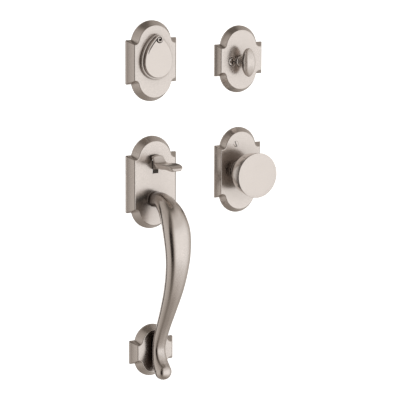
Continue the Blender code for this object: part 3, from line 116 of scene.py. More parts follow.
studio = {
    "floorLevel": -0.62,      # well below the set, which hangs on a door and not on a floor
    "floorSize": 60.0,
    "floorColour": "#F6F6F6",
    "floorRoughness": 0.9,
    "floorGlow": 0.9,
    # soft light all round: degrees from straight in front (right is plus) -> brightness; the
    # dark gap at the left draws the dark lines down the pull
    "around": ((-180, 0.95), (-158, 0.90), (-134, 0.66), (-112, 0.72), (-90, 0.68), (-73, 0.62),
               (-62, 0.02), (-40, 0.02), (-29, 0.66), (-18, 1.05), (-8, 1.14), (30, 1.16),
               (62, 1.10), (82, 0.84), (100, 0.55), (130, 0.55), (160, 0.80), (180, 0.95)),
    # degrees above level -> share of the light all round, and brightness of what is left
    "heights": ((-90, 0.0), (-62, 0.1), (-34, 0.66), (-20, 1.0), (8, 1.0), (22, 0.84), (31, 0.62),
                (44, 0.62), (58, 0.36), (72, 0.0), (90, 0.0)),
    "poles": ((-90, 0.30), (-40, 0.36), (0, 0.40), (30, 0.30), (60, 0.28), (74, 0.15), (90, 0.17)),
    # degrees from straight behind -> share of the light: a dark ring round the light panel
    # behind, which draws a dark line along every edge that stands square to the door
    "ring": ((0, 1.0), (22, 1.0), (27, 0.02), (40, 0.02), (46, 1.0), (180, 1.0)),
    "brightTint": "#FFFEFD", "darkTint": "#FFEFDF",   # dim light is a little warmer
}


def addFloor(setup):
    bm = bmesh.new()
    bmesh.ops.create_grid(bm, x_segments=1, y_segments=1, size=setup["floorSize"] / 2)
    mesh = bpy.data.meshes.new("floor")
    bm.to_mesh(mesh)
    bm.free()
    floor = bpy.data.objects.new("floor", mesh)
    floor.location = (0.0, 0.0, setup["floorLevel"])
    # the metal sees the soft room light and not the floor
    floor.visible_glossy = False
    floor.visible_diffuse = False
    bpy.context.scene.collection.objects.link(floor)
    material, _, shader = newMaterial("paintedFloor")
    shader.inputs["Base Color"].default_value = linear(setup["floorColour"])
    shader.inputs["Roughness"].default_value = setup["floorRoughness"]
    shader.inputs["Emission Color"].default_value = (1.0, 1.0, 1.0, 1.0)
    shader.inputs["Emission Strength"].default_value = setup["floorGlow"]
    mesh.materials.append(material)


def addRamp(tree, stops, low, high, socket):
    # curve of grey values over a range of degrees
    share = addNode(tree, "ShaderNodeMapRange", {"From Min": low, "From Max": high},
                    {"Value": socket})
    ramp = addNode(tree, "ShaderNodeValToRGB", {}, {"Fac": share.outputs["Result"]})
    elements = ramp.color_ramp.elements
    ramp.color_ramp.interpolation = "LINEAR"
    while len(elements) < len(stops):
        elements.new(0.5)
    for element, (degrees, value) in zip(elements, stops):
        element.position = (degrees - low) / (high - low)
    for element, (degrees, value) in zip(elements, stops):
        element.color = (value, value, value, 1.0)
    return ramp.outputs["Color"]


def addRoom(setup):
    world = bpy.data.worlds.new("room")
    world.use_nodes = True
    tree = world.node_tree
    axes = addNode(tree, "ShaderNodeSeparateXYZ", {}, {
        "Vector": addNode(tree, "ShaderNodeTexCoord").outputs["Generated"]})
    depth = addNode(tree, "ShaderNodeMath", {"operation": "MULTIPLY", 1: -1.0},
                    {0: axes.outputs["Y"]})
    turn = addNode(tree, "ShaderNodeMath", {"operation": "ARCTAN2"},
                   {0: axes.outputs["X"], 1: depth.outputs[0]})
    rise = addNode(tree, "ShaderNodeMath", {"operation": "ARCSINE"}, {0: axes.outputs["Z"]})
    degrees = [addNode(tree, "ShaderNodeMath", {"operation": "DEGREES"}, {0: source.outputs[0]})
               for source in (turn, rise)]
    around = addRamp(tree, setup["around"], -180, 180, degrees[0].outputs[0])
    share = addRamp(tree, setup["heights"], -90, 90, degrees[1].outputs[0])
    poles = addRamp(tree, setup["poles"], -90, 90, degrees[1].outputs[0])
    allRound = addNode(tree, "ShaderNodeMix", {"data_type": "RGBA"},
                       {mixShare: share, mixFirst: poles, mixSecond: around})
    behind = addNode(tree, "ShaderNodeMath", {"operation": "ARCCOSINE"}, {0: axes.outputs["Y"]})
    behind = addNode(tree, "ShaderNodeMath", {"operation": "DEGREES"}, {0: behind.outputs[0]})
    ring = addRamp(tree, setup["ring"], 0, 180, behind.outputs[0])
    multiply = {"data_type": "RGBA", "blend_type": "MULTIPLY", mixShare: 1.0}
    light = addNode(tree, "ShaderNodeMix", multiply,
                    {mixFirst: allRound.outputs[mixed], mixSecond: ring})
    tint = addNode(tree, "ShaderNodeMix", {
        "data_type": "RGBA", mixFirst: linear(setup["darkTint"]),
        mixSecond: linear(setup["brightTint"])}, {mixShare: light.outputs[mixed]})
    warm = addNode(tree, "ShaderNodeMix", multiply,
                   {mixFirst: light.outputs[mixed], mixSecond: tint.outputs[mixed]})
    tree.links.new(warm.outputs[mixed], tree.nodes["Background"].inputs["Color"])
    bpy.context.scene.world = world


addCamera(cameraSetup)
addFloor(studio)
addRoom(studio)
bpy.context.scene.view_settings.view_transform = "Standard"
print("camera, floor and light ready")


# Materials

metalSurface = {
    "grainDetail": 3.0, "grainRoughness": 0.6, "cloudDetail": 2.0,
    "cloudShare": 0.08,       # of the tone; the grain gives the rest
    "toneLow": 0.3, "toneHigh": 0.7, "glossSpread": 0.05,
    "grainHeight": 0.00005,   # metres
    "recessSamples": 8,
}


def metal(name, setup):
    # fine grain in height, gloss and tint, soft clouds of tone, and painted shade in recesses:
    # ambient occlusion pulls the base colour towards a dark shade colour. Each recess is (reach in
    # metres, openness where it starts and ends, tint left at its deepest)
    surface = metalSurface
    material, tree, shader = newMaterial(name)
    place = addNode(tree, "ShaderNodeTexCoord").outputs["Object"]
    grain = addNode(tree, "ShaderNodeTexNoise",
                    {"Scale": 1000 / setup["grain"], "Detail": surface["grainDetail"],
                     "Roughness": surface["grainRoughness"]}, {"Vector": place})
    cloud = addNode(tree, "ShaderNodeTexNoise",
                    {"Scale": 1000 / setup["cloud"], "Detail": surface["cloudDetail"]},
                    {"Vector": place})
    faintCloud = addNode(tree, "ShaderNodeMath",
                         {"operation": "MULTIPLY", 1: surface["cloudShare"]},
                         {0: cloud.outputs["Fac"]})
    blend = addNode(tree, "ShaderNodeMath",
                    {"operation": "MULTIPLY_ADD", 1: 1 - surface["cloudShare"]},
                    {0: grain.outputs["Fac"], 2: faintCloud.outputs[0]})
    tone = addNode(tree, "ShaderNodeMapRange",
                   {"From Min": surface["toneLow"], "From Max": surface["toneHigh"]},
                   {"Value": blend.outputs[0]})
    tint = addNode(tree, "ShaderNodeMix", {
        "data_type": "RGBA", mixFirst: linear(setup["dark"]), mixSecond: linear(setup["light"])},
        {mixShare: tone.outputs["Result"]})
    # painted shade: each recess darkens the base colour by its ambient occlusion
    for reach, low, high, depth in setup["recesses"]:
        shade = addNode(tree, "ShaderNodeAmbientOcclusion",
                        {"samples": surface["recessSamples"], "Distance": reach})
        share = addNode(tree, "ShaderNodeMapRange",
                        {"From Min": low, "From Max": high, "To Min": depth, "To Max": 1.0},
                        {"Value": shade.outputs["AO"]})
        tint = addNode(tree, "ShaderNodeMix",
                       {"data_type": "RGBA", mixFirst: linear(setup["recessShade"])},
                       {mixShare: share.outputs["Result"], mixSecond: tint.outputs[mixed]})
    spread = surface["glossSpread"]
    gloss = addNode(tree, "ShaderNodeMapRange",
                    {"To Min": setup["roughness"] - spread, "To Max": setup["roughness"] + spread},
                    {"Value": grain.outputs["Fac"]})
    bump = addNode(tree, "ShaderNodeBump",
                   {"Strength": setup["bump"], "Distance": surface["grainHeight"]},
                   {"Height": grain.outputs["Fac"]})
    tree.links.new(tint.outputs[mixed], shader.inputs["Base Color"])
    tree.links.new(gloss.outputs["Result"], shader.inputs["Roughness"])
    tree.links.new(bump.outputs["Normal"], shader.inputs["Normal"])
    shader.inputs["Metallic"].default_value = 1.0
    return material


# Nickel plated over cast zinc and brushed to a satin: a warm pale grey whose fine grain
# spreads every reflection softly
nickelFinish = {
    "light": "#DED6D0", "dark": "#CAC2BC", "roughness": 0.22, "bump": 0.2,
    "grain": 0.8,             # mm, real grain is about 0.1 mm and is drawn coarser to show
    "cloud": 14.0,            # mm, the slight unevenness of a casting brushed by hand
    # the recess tint is painted shade, laid into recesses and next to neighbouring parts
    "recessShade": "#4A3F38", "recesses": ((0.0025, 0.1, 0.85, 0.12), (0.028, 0.25, 0.95, 0.55)),
}
satinNickel = metal("satinNickelPlated", nickelFinish)
# The same plate where hands have polished it: clearer streaks, and deeper painted shade where it
# meets the door
handledShadedNickel = metal("satinNickelHandledShaded", {
    **nickelFinish, "roughness": 0.18,
    "recesses": ((0.0025, 0.1, 0.85, 0.12), (0.034, 0.68, 0.97, 0.03)),
})
# The same plate on small turned fittings: bright rims around cuts darkened by painted shade
fittingNickel = metal("satinNickelTurned", {
    **nickelFinish, "roughness": 0.18, "recesses": ((0.003, 0.4, 0.95, 0.03),),
})
# The same plate dulled by the thumb: softer and more even reflections
pressedNickel = metal("satinNickelPressed", {**nickelFinish, "roughness": 0.34})
# Turned brass: plain yellow metal with fine tool marks. Its grain, and that of the two steels
# below, is 3 to 10 times coarser than the real marks, so that it shows
turnedBrass = metal("turnedBrass", {
    "light": "#D9B878", "dark": "#C7A261", "roughness": 0.3, "bump": 0.15, "grain": 0.6,
    # its recess tint is painted shade
    "cloud": 9.0, "recessShade": "#5E4A28", "recesses": ((0.0025, 0.15, 0.75, 0.4),),
})
# Zinc plated steel: cool grey with slightly uneven gloss
zincSteel = metal("zincPlatedSteel", {
    # its recess tint is painted shade
    "light": "#C9CCCE", "dark": "#B2B5B8", "roughness": 0.38, "bump": 0.3, "grain": 1.4,
    "cloud": 6.0, "recessShade": "#4B4C4E", "recesses": ((0.0025, 0.15, 0.75, 0.4),),
})
# Spring steel, drawn and bent: darker grey, smooth
springWire = metal("drawnSpringSteel", {
    "light": "#9A9A9C", "dark": "#858588", "roughness": 0.3, "bump": 0.1, "grain": 0.5,
    # its recess tint is painted shade
    "cloud": 5.0, "recessShade": "#3C3C3E", "recesses": ((0.0015, 0.15, 0.75, 0.5),),
})
slotMetals = {"satin_nickel": satinNickel, "brass": turnedBrass, "steel": zincSteel,
              "spring_steel": springWire}
nodeSlots = {part["node"]: part["material_slot"] for part in frame["record"]["subparts"]}
for name, node in nodes.items():
    for slot in node.material_slots:
        slot.material = slotMetals[nodeSlots[name]]
print("materials ready")


# Making pieces

stations = {                  # mm across and up from the middle of the handle plate
    "cylinder": (0.0, 147.5),
    "handle": (0.0, 0.0),
    "foot": (0.0, -208.3),
    "turn": (124.1, 140.3),
    "knob": (124.1, 3.9),
}
fit = 0.3                     # mm between pieces that touch
over = 1.0                    # mm that a cutter reaches past what it cuts
millimetre = 0.001


def stationMatrix(station):
    across, up = stations[station]
    return (Matrix.Translation((across * millimetre, 0.0, up * millimetre))
            @ Matrix.Rotation(math.pi / 2, 4, "X") @ Matrix.Scale(millimetre, 4))


def meshFrom(name, bm):
    bmesh.ops.recalc_face_normals(bm, faces=bm.faces)
    mesh = bpy.data.meshes.new(name)
    bm.to_mesh(mesh)
    bm.free()
    return mesh


def skin(name, rings):
    # closed skin over rings of equally many points
    bm = bmesh.new()
    loops = [[bm.verts.new(point) for point in ring] for ring in rings]
    for low, high in zip(loops, loops[1:]):
        for i in range(len(low)):
            j = (i + 1) % len(low)
            bm.faces.new((low[i], low[j], high[j], high[i]))
    bm.faces.new(reversed(loops[0]))
    bm.faces.new(loops[-1])
    return meshFrom(name, bm)


def easedProfile(corners, steps=4):
    # corners are (radius, out) or (radius, out, rounding); rounded ones become arcs
    points = []
    for i, corner in enumerate(corners):
        if len(corner) < 3 or i in (0, len(corners) - 1):
            points.append(tuple(corner[:2]))
            continue
        middle = Vector(corner[:2])
        before = Vector(corners[i - 1][:2]) - middle
        after = Vector(corners[i + 1][:2]) - middle
        half = before.angle(after) / 2
        # less than half of each side, so that neighbouring arcs never meet
        reach = min(corner[2] / math.tan(half), before.length * 0.49, after.length * 0.49)
        radius = reach * math.tan(half)
        first = before.normalized()
        last = after.normalized()
        centre = middle + (first + last).normalized() * radius / math.sin(half)
        start = middle + first * reach - centre
        end = middle + last * reach - centre
        whole = start.angle(end)
        for k in range(steps + 1):
            share = k / steps
            arm = start * math.sin((1 - share) * whole) + end * math.sin(share * whole)
            points.append(tuple(centre + arm / math.sin(whole)))
    return points


def turned(name, corners, steps=72, across=0.0, up=0.0, ring=False):
    # solid of revolution about out, from its front to its back; a ring's section is closed
    points = easedProfile(corners)
    bm = bmesh.new()
    loops = []
    for radius, out in points:
        if radius < 1e-6:     # on the axis
            loops.append([bm.verts.new((across, up, out))])
            continue
        loops.append([bm.verts.new((across + radius * math.cos(2 * math.pi * i / steps),
                                    up + radius * math.sin(2 * math.pi * i / steps), out))
                      for i in range(steps)])
    pairs = list(zip(loops, loops[1:]))
    if ring:
        pairs.append((loops[-1], loops[0]))
    for low, high in pairs:
        for i in range(steps):
            j = (i + 1) % steps
            face = [low[i % len(low)], low[j % len(low)], high[j % len(high)],
                    high[i % len(high)]]
            bm.faces.new(list(dict.fromkeys(face)))
    return meshFrom(name, bm)


def block(name, low, high):
    bm = bmesh.new()
    size = Vector(high) - Vector(low)
    middle = (Vector(high) + Vector(low)) / 2
    bmesh.ops.create_cube(bm, size=1.0,
                          matrix=Matrix.Translation(middle) @ Matrix.Diagonal((*size, 1.0)))
    return meshFrom(name, bm)


def crossRod(name, radius, low, high, up, out, steps=48):
    # round bar along across
    bm = bmesh.new()
    matrix = (Matrix.Translation(((low + high) / 2, up, out))
              @ Matrix.Rotation(math.pi / 2, 4, "Y"))
    bmesh.ops.create_cone(bm, cap_ends=True, segments=steps, radius1=radius, radius2=radius,
                          depth=high - low, matrix=matrix)
    return meshFrom(name, bm)


def rod(name, radius, low, high, across=0.0, up=0.0, top=None):
    # round bar along out, or a cone where its front radius is given as top
    return turned(name, [(0.0, high), (radius if top is None else top, high), (radius, low),
                         (0.0, low)], 64, across, up)


def wire(name, points, radius, radii, steps=12):
    # round wire through points, with a factor on its radius at each
    rings = []
    side = Vector((0.0, 0.0, 1.0))
    for i, point in enumerate(points):
        run = Vector(points[min(i + 1, len(points) - 1)]) - Vector(points[max(i - 1, 0)])
        run.normalize()
        side = (side - run * side.dot(run)).normalized()
        other = run.cross(side)
        size = radius * radii[i]
        rings.append([tuple(Vector(point) + side * size * math.cos(2 * math.pi * k / steps)
                            + other * size * math.sin(2 * math.pi * k / steps))
                      for k in range(steps)])
    return skin(name, rings)


def carve(mesh, tools, operation="DIFFERENCE"):
    # Boolean of a mesh with each tool in turn, with nothing left over
    for tool in tools:
        main = bpy.data.objects.new(mesh.name, mesh)
        other = bpy.data.objects.new("tool", tool)
        for obj in (main, other):
            bpy.context.scene.collection.objects.link(obj)
        modifier = main.modifiers.new("carve", "BOOLEAN")
        modifier.operation = operation
        modifier.solver = "EXACT"
        modifier.object = other
        graph = bpy.context.evaluated_depsgraph_get()
        made = bpy.data.meshes.new_from_object(main.evaluated_get(graph), depsgraph=graph)
        name = mesh.name
        bpy.data.objects.remove(main)
        bpy.data.objects.remove(other)
        bpy.data.meshes.remove(mesh)
        bpy.data.meshes.remove(tool)
        mesh = made
        mesh.name = name
    return mesh


def fuse(mesh, tools):
    return carve(mesh, tools, "UNION")


def dress(name, mesh, station, body, stands, sharp=32, finish=None):
    # finished piece in place of its CAD node, riding on the same body
    mesh.transform(stationMatrix(station))
    mesh.materials.clear()
    mesh.materials.append(finish or slotMetals[nodeSlots[stands]])
    mesh.shade_smooth()
    mesh.set_sharp_from_angle(angle=math.radians(sharp))
    piece = bpy.data.objects.new(name, mesh)
    bpy.context.scene.collection.objects.link(piece)
    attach(piece, body)
    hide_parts(stands)


def arc(middleAcross, middleUp, radius, start, end, steps):
    # points of an arc between two angles in degrees, both ends included
    return [(middleAcross + radius * math.cos(math.radians(start + (end - start) * i / steps)),
             middleUp + radius * math.sin(math.radians(start + (end - start) * i / steps)))
            for i in range(steps + 1)]


def smoothLine(points, steps):
    # Catmull-Rom curve through points of any size
    line = []
    last = len(points) - 1
    for i in range(last):
        before, here, there, after = (points[max(i - 1, 0)], points[i], points[i + 1],
                                      points[min(i + 2, last)])
        for k in range(steps):
            t = k / steps
            line.append(tuple(
                0.5 * (2 * b + (c - a) * t + (2 * a - 5 * b + 4 * c - d) * t ** 2
                       + (3 * b - a - 3 * c + d) * t ** 3)
                for a, b, c, d in zip(before, here, there, after)))
    line.append(tuple(points[-1]))
    return line


# Arched plates

outsideSection = {            # mm
    "depth": 11.5, "rim": 2.3, "sideBevel": 6.8, "archBevel": 5.3, "earRound": 1.3, "wall": 2.6,
}
insideSection = {
    "depth": 9.0, "rim": 1.9, "sideBevel": 5.3, "archBevel": 4.9, "earRound": 0.5, "wall": 2.4,
}
plateShape = {                # mm
    "notchFillet": 0.5, "pocketWall": 1.9, "coveSag": 0.15, "faceEdge": 0.7, "frontEarRound": 0.3,
    "backEdge": 0.2, "rimEdge": 0.25, "rimInset": 0.6, "shoulderInset": 0.6, "shoulderDrop": 0.8,
    "archSteps": 44, "notchSteps": 9, "coveSteps": 10, "earSteps": 4,
    # fillet round the pocket's floor: mm in from the wall and mm down from the floor
    "pocketFillet": ((0.8, 0.0), (0.3, 0.08), (0.08, 0.3), (0.0, 0.8)),
    # round of the face's edge, as shares of faceEdge: in past the bevel, and down from the face
    "faceRound": ((-0.2, 0.38), (0.15, 0.12), (0.5, 0.02), (0.9, 0.0), (1.4, 0.0)),
}


def plateOutline(size, sideInset, archInset, earRound):
    halfWidth, ear, halfHeight, archHalf = size
    rise = halfHeight - ear
    archRadius = (archHalf ** 2 + rise ** 2) / (2 * rise)
    archMiddle = halfHeight - archRadius
    notchUp = ear + plateShape["notchFillet"]
    reach = archRadius + plateShape["notchFillet"]
    notchAcross = math.sqrt(reach ** 2 - (notchUp - archMiddle) ** 2)
    start = math.degrees(math.atan2(notchUp - archMiddle, notchAcross))
    corner = (halfWidth - sideInset - earRound, ear - archInset - earRound)
    quarter = arc(*corner, earRound, 0.0, 90.0, plateShape["earSteps"])
    quarter += arc(notchAcross, notchUp, plateShape["notchFillet"] + archInset, -90.0,
                   -180.0 + start, plateShape["notchSteps"])
    quarter += arc(0.0, archMiddle, archRadius - archInset, start, 90.0,
                   plateShape["archSteps"])[1:]
    upper = quarter + [(-across, up) for across, up in reversed(quarter[:-1])]
    return upper + [(-across, -up) for across, up in upper]


def plateMesh(name, size, section, raised=0.0):
    def ring(side, arch, earRound, out):
        return [(across, up + raised, out)
                for across, up in plateOutline(size, side, arch, earRound)]

    depth, rim = section["depth"], section["rim"]
    shape = plateShape
    share = (depth - section["wall"] - rim) / (depth - rim)
    pocketSide = section["sideBevel"] * share + shape["pocketWall"]
    pocketArch = section["archBevel"] * share + shape["pocketWall"]
    small = shape["frontEarRound"]
    floor = depth - section["wall"]
    rings = [ring(pocketSide + inset, pocketArch + inset, small, floor - drop)
             for inset, drop in shape["pocketFillet"]]
    back = shape["backEdge"]
    rings += [ring(pocketSide, pocketArch, small, back),
              ring(pocketSide - back, pocketArch - back, small, 0.0),
              ring(back, back, section["earRound"], 0.0),
              ring(0.0, 0.0, section["earRound"], back),
              ring(0.0, 0.0, section["earRound"], rim - shape["rimEdge"])]
    edge = shape["faceEdge"]
    shoulder = depth - edge * shape["shoulderDrop"]
    start = shape["rimEdge"] * shape["rimInset"]
    sideEnd = section["sideBevel"] - edge * shape["shoulderInset"]
    archEnd = section["archBevel"] - edge * shape["shoulderInset"]
    steps = shape["coveSteps"]
    for i in range(steps + 1):
        along = i / steps
        sag = shape["coveSag"] * 4 * along * (1 - along)
        corner = section["earRound"] + (small - section["earRound"]) * along
        side = start + (sideEnd - start) * along + sag
        arch = start + (archEnd - start) * along + sag
        rings.append(ring(side, arch, corner, rim + (shoulder - rim) * along - sag / 2))
    for inset, drop in shape["faceRound"]:
        rings.append(ring(section["sideBevel"] + edge * inset, section["archBevel"] + edge * inset,
                          small, depth - edge * drop))
    return skin(name, rings)


plateSizes = {                # mm: half width, half heights of ears and arch, half width of arch
    "cylinderRose": (35.0, 26.6, 48.7, 27.2),
    "handlePlate": (35.0, 35.1, 56.6, 27.2),
    "footRose": (30.5, 14.4, 32.2, 22.6),
    "turnRose": (34.1, 19.5, 41.2, 26.0),
    "knobRose": (33.35, 32.4, 53.1, 25.7),
}
outsideFace = outsideSection["depth"]
outsidePocket = outsideFace - outsideSection["wall"]
insideFace = insideSection["depth"]
insidePocket = insideFace - insideSection["wall"]


# Outside deadbolt

cylinderParts = {             # mm
    "frontRadius": 14.0,
    "collarRadius": 21.1, "collarTip": 33.5, "collarHeight": 4.0, "collarEdge": 0.8,
    "coverRadius": 18.7, "coverTip": 31.2, "coverHeight": 4.0, "coverEdge": 0.8,
    "tipInset": 1.3,          # inset at the teardrop's tip, for one of 1 at its round end
    "backEdge": 0.15, "edgeSteps": 6, "faceInset": 1.5,
    "pinRadius": 1.4, "pinReach": 2.2,
    "scrollAcross": 0.9, "scrollUp": 27.6, "scrollRadius": 5.0, "bead": 0.95, "proud": 0.7,
    "groove": 1.5, "turns": 1.2, "start": 160.0, "join": 122.0,   # the last two in degrees
    # shares of the bead's radius: its distance from the cover's edge, the radius that the
    # curl ends at, and the trough beside it, to its right, down and below the face
    "beadInset": 0.8, "curlEnd": 1.25, "trough": (1.25, 0.7, 0.1),
    "fadeStart": 0.45, "fadeRate": 1.4, "joinPower": 3, "curlPower": 1.3,
}


def teardropOutline(radius, tip, steps=72):
    side = (radius ** 2 + tip ** 2) / (2 * radius)
    lean = math.degrees(math.asin(tip / side))
    right = arc(radius - side, 0.0, side, 0.0, lean, steps // 2)
    left = arc(side - radius, 0.0, side, 180.0 - lean, 180.0, steps // 2)[1:]
    return right + left + arc(0.0, 0.0, radius, 180.0, 360.0, steps)[1:-1]


def easedTeardrop(name, radius, tip, low, high, edge):
    # flat teardrop with a rounded front edge and a lightly broken back edge
    parts = cylinderParts

    def ring(inset, out):
        return [(across, up, out) for across, up in
                teardropOutline(radius - inset, tip - inset * parts["tipInset"])]

    rings = [ring(parts["backEdge"], low), ring(0.0, low + parts["backEdge"])]
    for i in range(parts["edgeSteps"] + 1):
        lean = math.radians(90 * i / parts["edgeSteps"])
        rings.append(ring(edge * (1 - math.cos(lean)), high - edge + edge * math.sin(lean)))
    rings.append(ring(edge * parts["faceInset"], high))
    return skin(name, rings)


def scrollPath(front, edgeSteps=26, curlSteps=84):
    # middle line of the bead: up the cover's left edge, over its tip and in on itself
    parts = cylinderParts
    side = (parts["coverRadius"] ** 2 + parts["coverTip"] ** 2) / (2 * parts["coverRadius"])
    middle = side - parts["coverRadius"]
    reach = side - parts["bead"] * parts["beadInset"]
    first = parts["scrollRadius"] - parts["bead"]
    joinAcross = parts["scrollAcross"] + first * math.cos(math.radians(parts["join"]))
    joinUp = parts["scrollUp"] + first * math.sin(math.radians(parts["join"]))
    low = math.radians(parts["start"])
    high = math.atan2(joinUp, joinAcross - middle)
    shift = math.hypot(joinUp, joinAcross - middle) - reach
    top = front - parts["bead"] + parts["proud"]
    points = []
    radii = []
    for i in range(edgeSteps):
        share = i / edgeSteps
        angle = low + (high - low) * share
        length = reach + shift * share ** parts["joinPower"]
        fade = min(1.0, parts["fadeStart"] + parts["fadeRate"] * share)
        points.append((middle + length * math.cos(angle), length * math.sin(angle),
                       top - parts["bead"] * (1.0 - fade)))
        radii.append(fade)
    last = parts["bead"] * parts["curlEnd"]
    for i in range(curlSteps + 1):
        share = i / curlSteps
        angle = math.radians(parts["join"] - 360.0 * parts["turns"] * share)
        length = first + (last - first) * share ** parts["curlPower"]
        points.append((parts["scrollAcross"] + length * math.cos(angle),
                       parts["scrollUp"] + length * math.sin(angle), top))
        radii.append(1.0)
    return points, radii, edgeSteps


def makeCylinder():
    parts = cylinderParts
    hole = parts["frontRadius"] + fit
    pinSpot = (parts["scrollAcross"], parts["scrollUp"])
    pinHole = parts["pinRadius"] + fit
    rose = plateMesh("cylinderRose", plateSizes["cylinderRose"], outsideSection)
    rose = carve(rose, [rod("bore", hole, outsidePocket - over, outsideFace + over),
                        rod("bore", pinHole, outsidePocket - over, outsideFace + over, *pinSpot)])
    dress("cylinderRose", rose, "cylinder", "fixed_set", "cylinder_rose")

    back = outsideFace + fit
    front = back + parts["collarHeight"]
    collar = easedTeardrop("keyCollar", parts["collarRadius"], parts["collarTip"], back, front,
                           parts["collarEdge"])
    collar = carve(collar, [rod("bore", hole, back - over, front + over),
                            rod("bore", pinHole, back - over, front + over, *pinSpot)])
    dress("keyCollar", collar, "cylinder", "fixed_set", "key_collar")

    coverBack = front + fit
    coverFront = coverBack + parts["coverHeight"]
    cover = easedTeardrop("keyCover", parts["coverRadius"], parts["coverTip"], coverBack,
                          coverFront, parts["coverEdge"])
    bead = parts["bead"]
    path, radii, edgeSteps = scrollPath(coverFront)
    cover = fuse(cover, [rod("knuckle", parts["scrollRadius"] - bead / 2, coverBack,
                             coverFront - parts["groove"] / 2, *pinSpot)])
    right, down, below = parts["trough"]
    trough = [(across + bead * right, up - bead * down, coverFront - bead * below)
              for across, up, _ in path[:edgeSteps]]
    cover = carve(cover, [
        rod("sink", parts["scrollRadius"] - bead / 3, coverFront - parts["groove"],
            coverFront + over, *pinSpot),
        wire("trough", trough, bead, radii[:edgeSteps]),
        rod("bore", pinHole, coverBack - over, coverBack + parts["pinReach"] + fit, *pinSpot)])
    cover = fuse(cover, [wire("bead", path, bead, radii, 20)])
    dress("keyCover", cover, "cylinder", "key_cover", "key_cover", sharp=28,
          finish=fittingNickel)


makeCylinder()
print("outside deadbolt ready")


# Handle plate, thumbpiece and pull

handleParts = {               # mm
    "pinUp": 22.0, "pinOut": 4.6, "pinRadius": 1.5, "hubRadius": 3.4,
    "lugInner": 5.6, "lugThick": 2.2, "lugLow": 8.5, "ledgeUp": 30.0, "ledgeThick": 2.0,
    "ledgeRear": 4.6, "slotWidth": 8.6, "slotLow": 12.285, "slotHigh": 31.01, "webHalf": 3.0,
    "webReach": 28.1,
    "rootUp": -19.3, "boltRadius": 3.0,
}
thumbShape = {                # mm: out, top, bottom, half width and crown of the top
    "stations": ((14.5, 33.8, 28.5, 6.9, 1.2), (17.0, 33.9, 26.6, 7.0, 1.2),
                 (18.7, 33.5, 25.3, 7.0, 1.1), (19.9, 31.6, 24.8, 7.4, 0.7),
                 (21.4, 29.5, 24.3, 7.9, 0.3), (22.8, 27.8, 23.8, 8.4, 0.0),
                 (24.2, 26.9, 23.1, 9.1, -0.3), (26.5, 26.8, 22.1, 9.8, -0.5),
                 (30.0, 27.1, 21.5, 10.1, -0.6), (36.0, 27.9, 21.2, 9.9, -0.7),
                 (45.0, 28.8, 22.1, 9.8, -0.7), (52.0, 28.7, 22.2, 9.7, -0.6),
                 (57.0, 28.0, 21.8, 9.3, -0.45), (60.6, 26.9, 21.7, 8.2, -0.25),
                 (62.4, 25.5, 22.2, 6.8, 0.0), (63.0, 24.4, 23.0, 5.2, 0.0)),
    "neck": ((4.6, 19.0), (12.0, 17.3), (18.0, 18.2), (30.0, 22.5), (30.0, 24.0), (20.0, 27.0),
             (14.8, 29.5), (11.0, 27.8), (4.6, 25.0)),
    "edge": 1.1, "slotPlay": 0.4, "tailWidth": 6.0, "tailThick": 3.0, "tailRear": 14.0,
    # shares: of the width below, of the height taken by the edges, of the width below that
    # is flat, and of the crown that the edges get
    "lowWidth": 0.82, "edgeHeight": 0.3, "flatWidth": 0.4, "edgeCrown": 0.2,
}
pullShape = {                 # mm: out, up, half width and half thickness
    "stations": ((11.8, -19.3, 9.86, 9.59), (15.8, -19.3, 9.59, 9.4),
                 (27.48, -19.41, 10.6, 10.21), (41.02, -25.21, 13.31, 11.8),
                 (52.37, -35.3, 16, 13), (61.21, -52, 17.6, 13),
                 (64.5, -75.01, 16.4, 12), (62.18, -97.3, 14.61, 11),
                 (54.5, -123.21, 12.6, 9.91), (41.93, -151.01, 10.51, 8.4),
                 (29.99, -174.8, 9.2, 7.4), (21.99, -194, 8.61, 6.9),
                 (20.12, -205.5, 8.4, 6.8), (22.19, -215.99, 9.29, 7.9),
                 (26.19, -224.3, 10.21, 9.4), (30.57, -229.6, 10.3, 10.1)),
    "postWidth": 4.8, "postHeight": 9.0, "postWaist": 0.93, "postWaistOut": 1.3,
    "postEnd": 0.9, "postSteps": 48, "ballSteps": 9,
    "boltReach": 12.0, "footBoltRadius": 2.5, "footBoltReach": 7.5, "footUp": -208.3,
}


def thumbRing(out, top, bottom, halfWidth, crown, steps=7):
    # dished or crowned top, eased edges and narrower sides below
    shape = thumbShape
    edge = min(shape["edge"], (top - bottom) * shape["edgeHeight"])
    low = halfWidth * shape["lowWidth"]
    upper = []
    for i in range(steps + 1):
        across = (halfWidth - edge) * (1 - 2 * i / steps)
        upper.append((across, top + crown * (1 - (across / halfWidth) ** 2), out))
    left = [(-halfWidth + edge - edge * math.sin(math.radians(lean)),
             top - edge + edge * math.cos(math.radians(lean)) + crown * shape["edgeCrown"], out)
            for lean in (30, 60, 90)]
    left += [(-low + edge - edge * math.cos(math.radians(lean)),
              bottom + edge - edge * math.sin(math.radians(lean)), out)
             for lean in (0, 30, 60, 90)]
    flat = low * shape["flatWidth"]
    under = [(-flat, bottom, out), (0.0, bottom, out), (flat, bottom, out)]
    right = [(-across, up, out) for across, up, out in reversed(left)]
    return upper + left + under + right


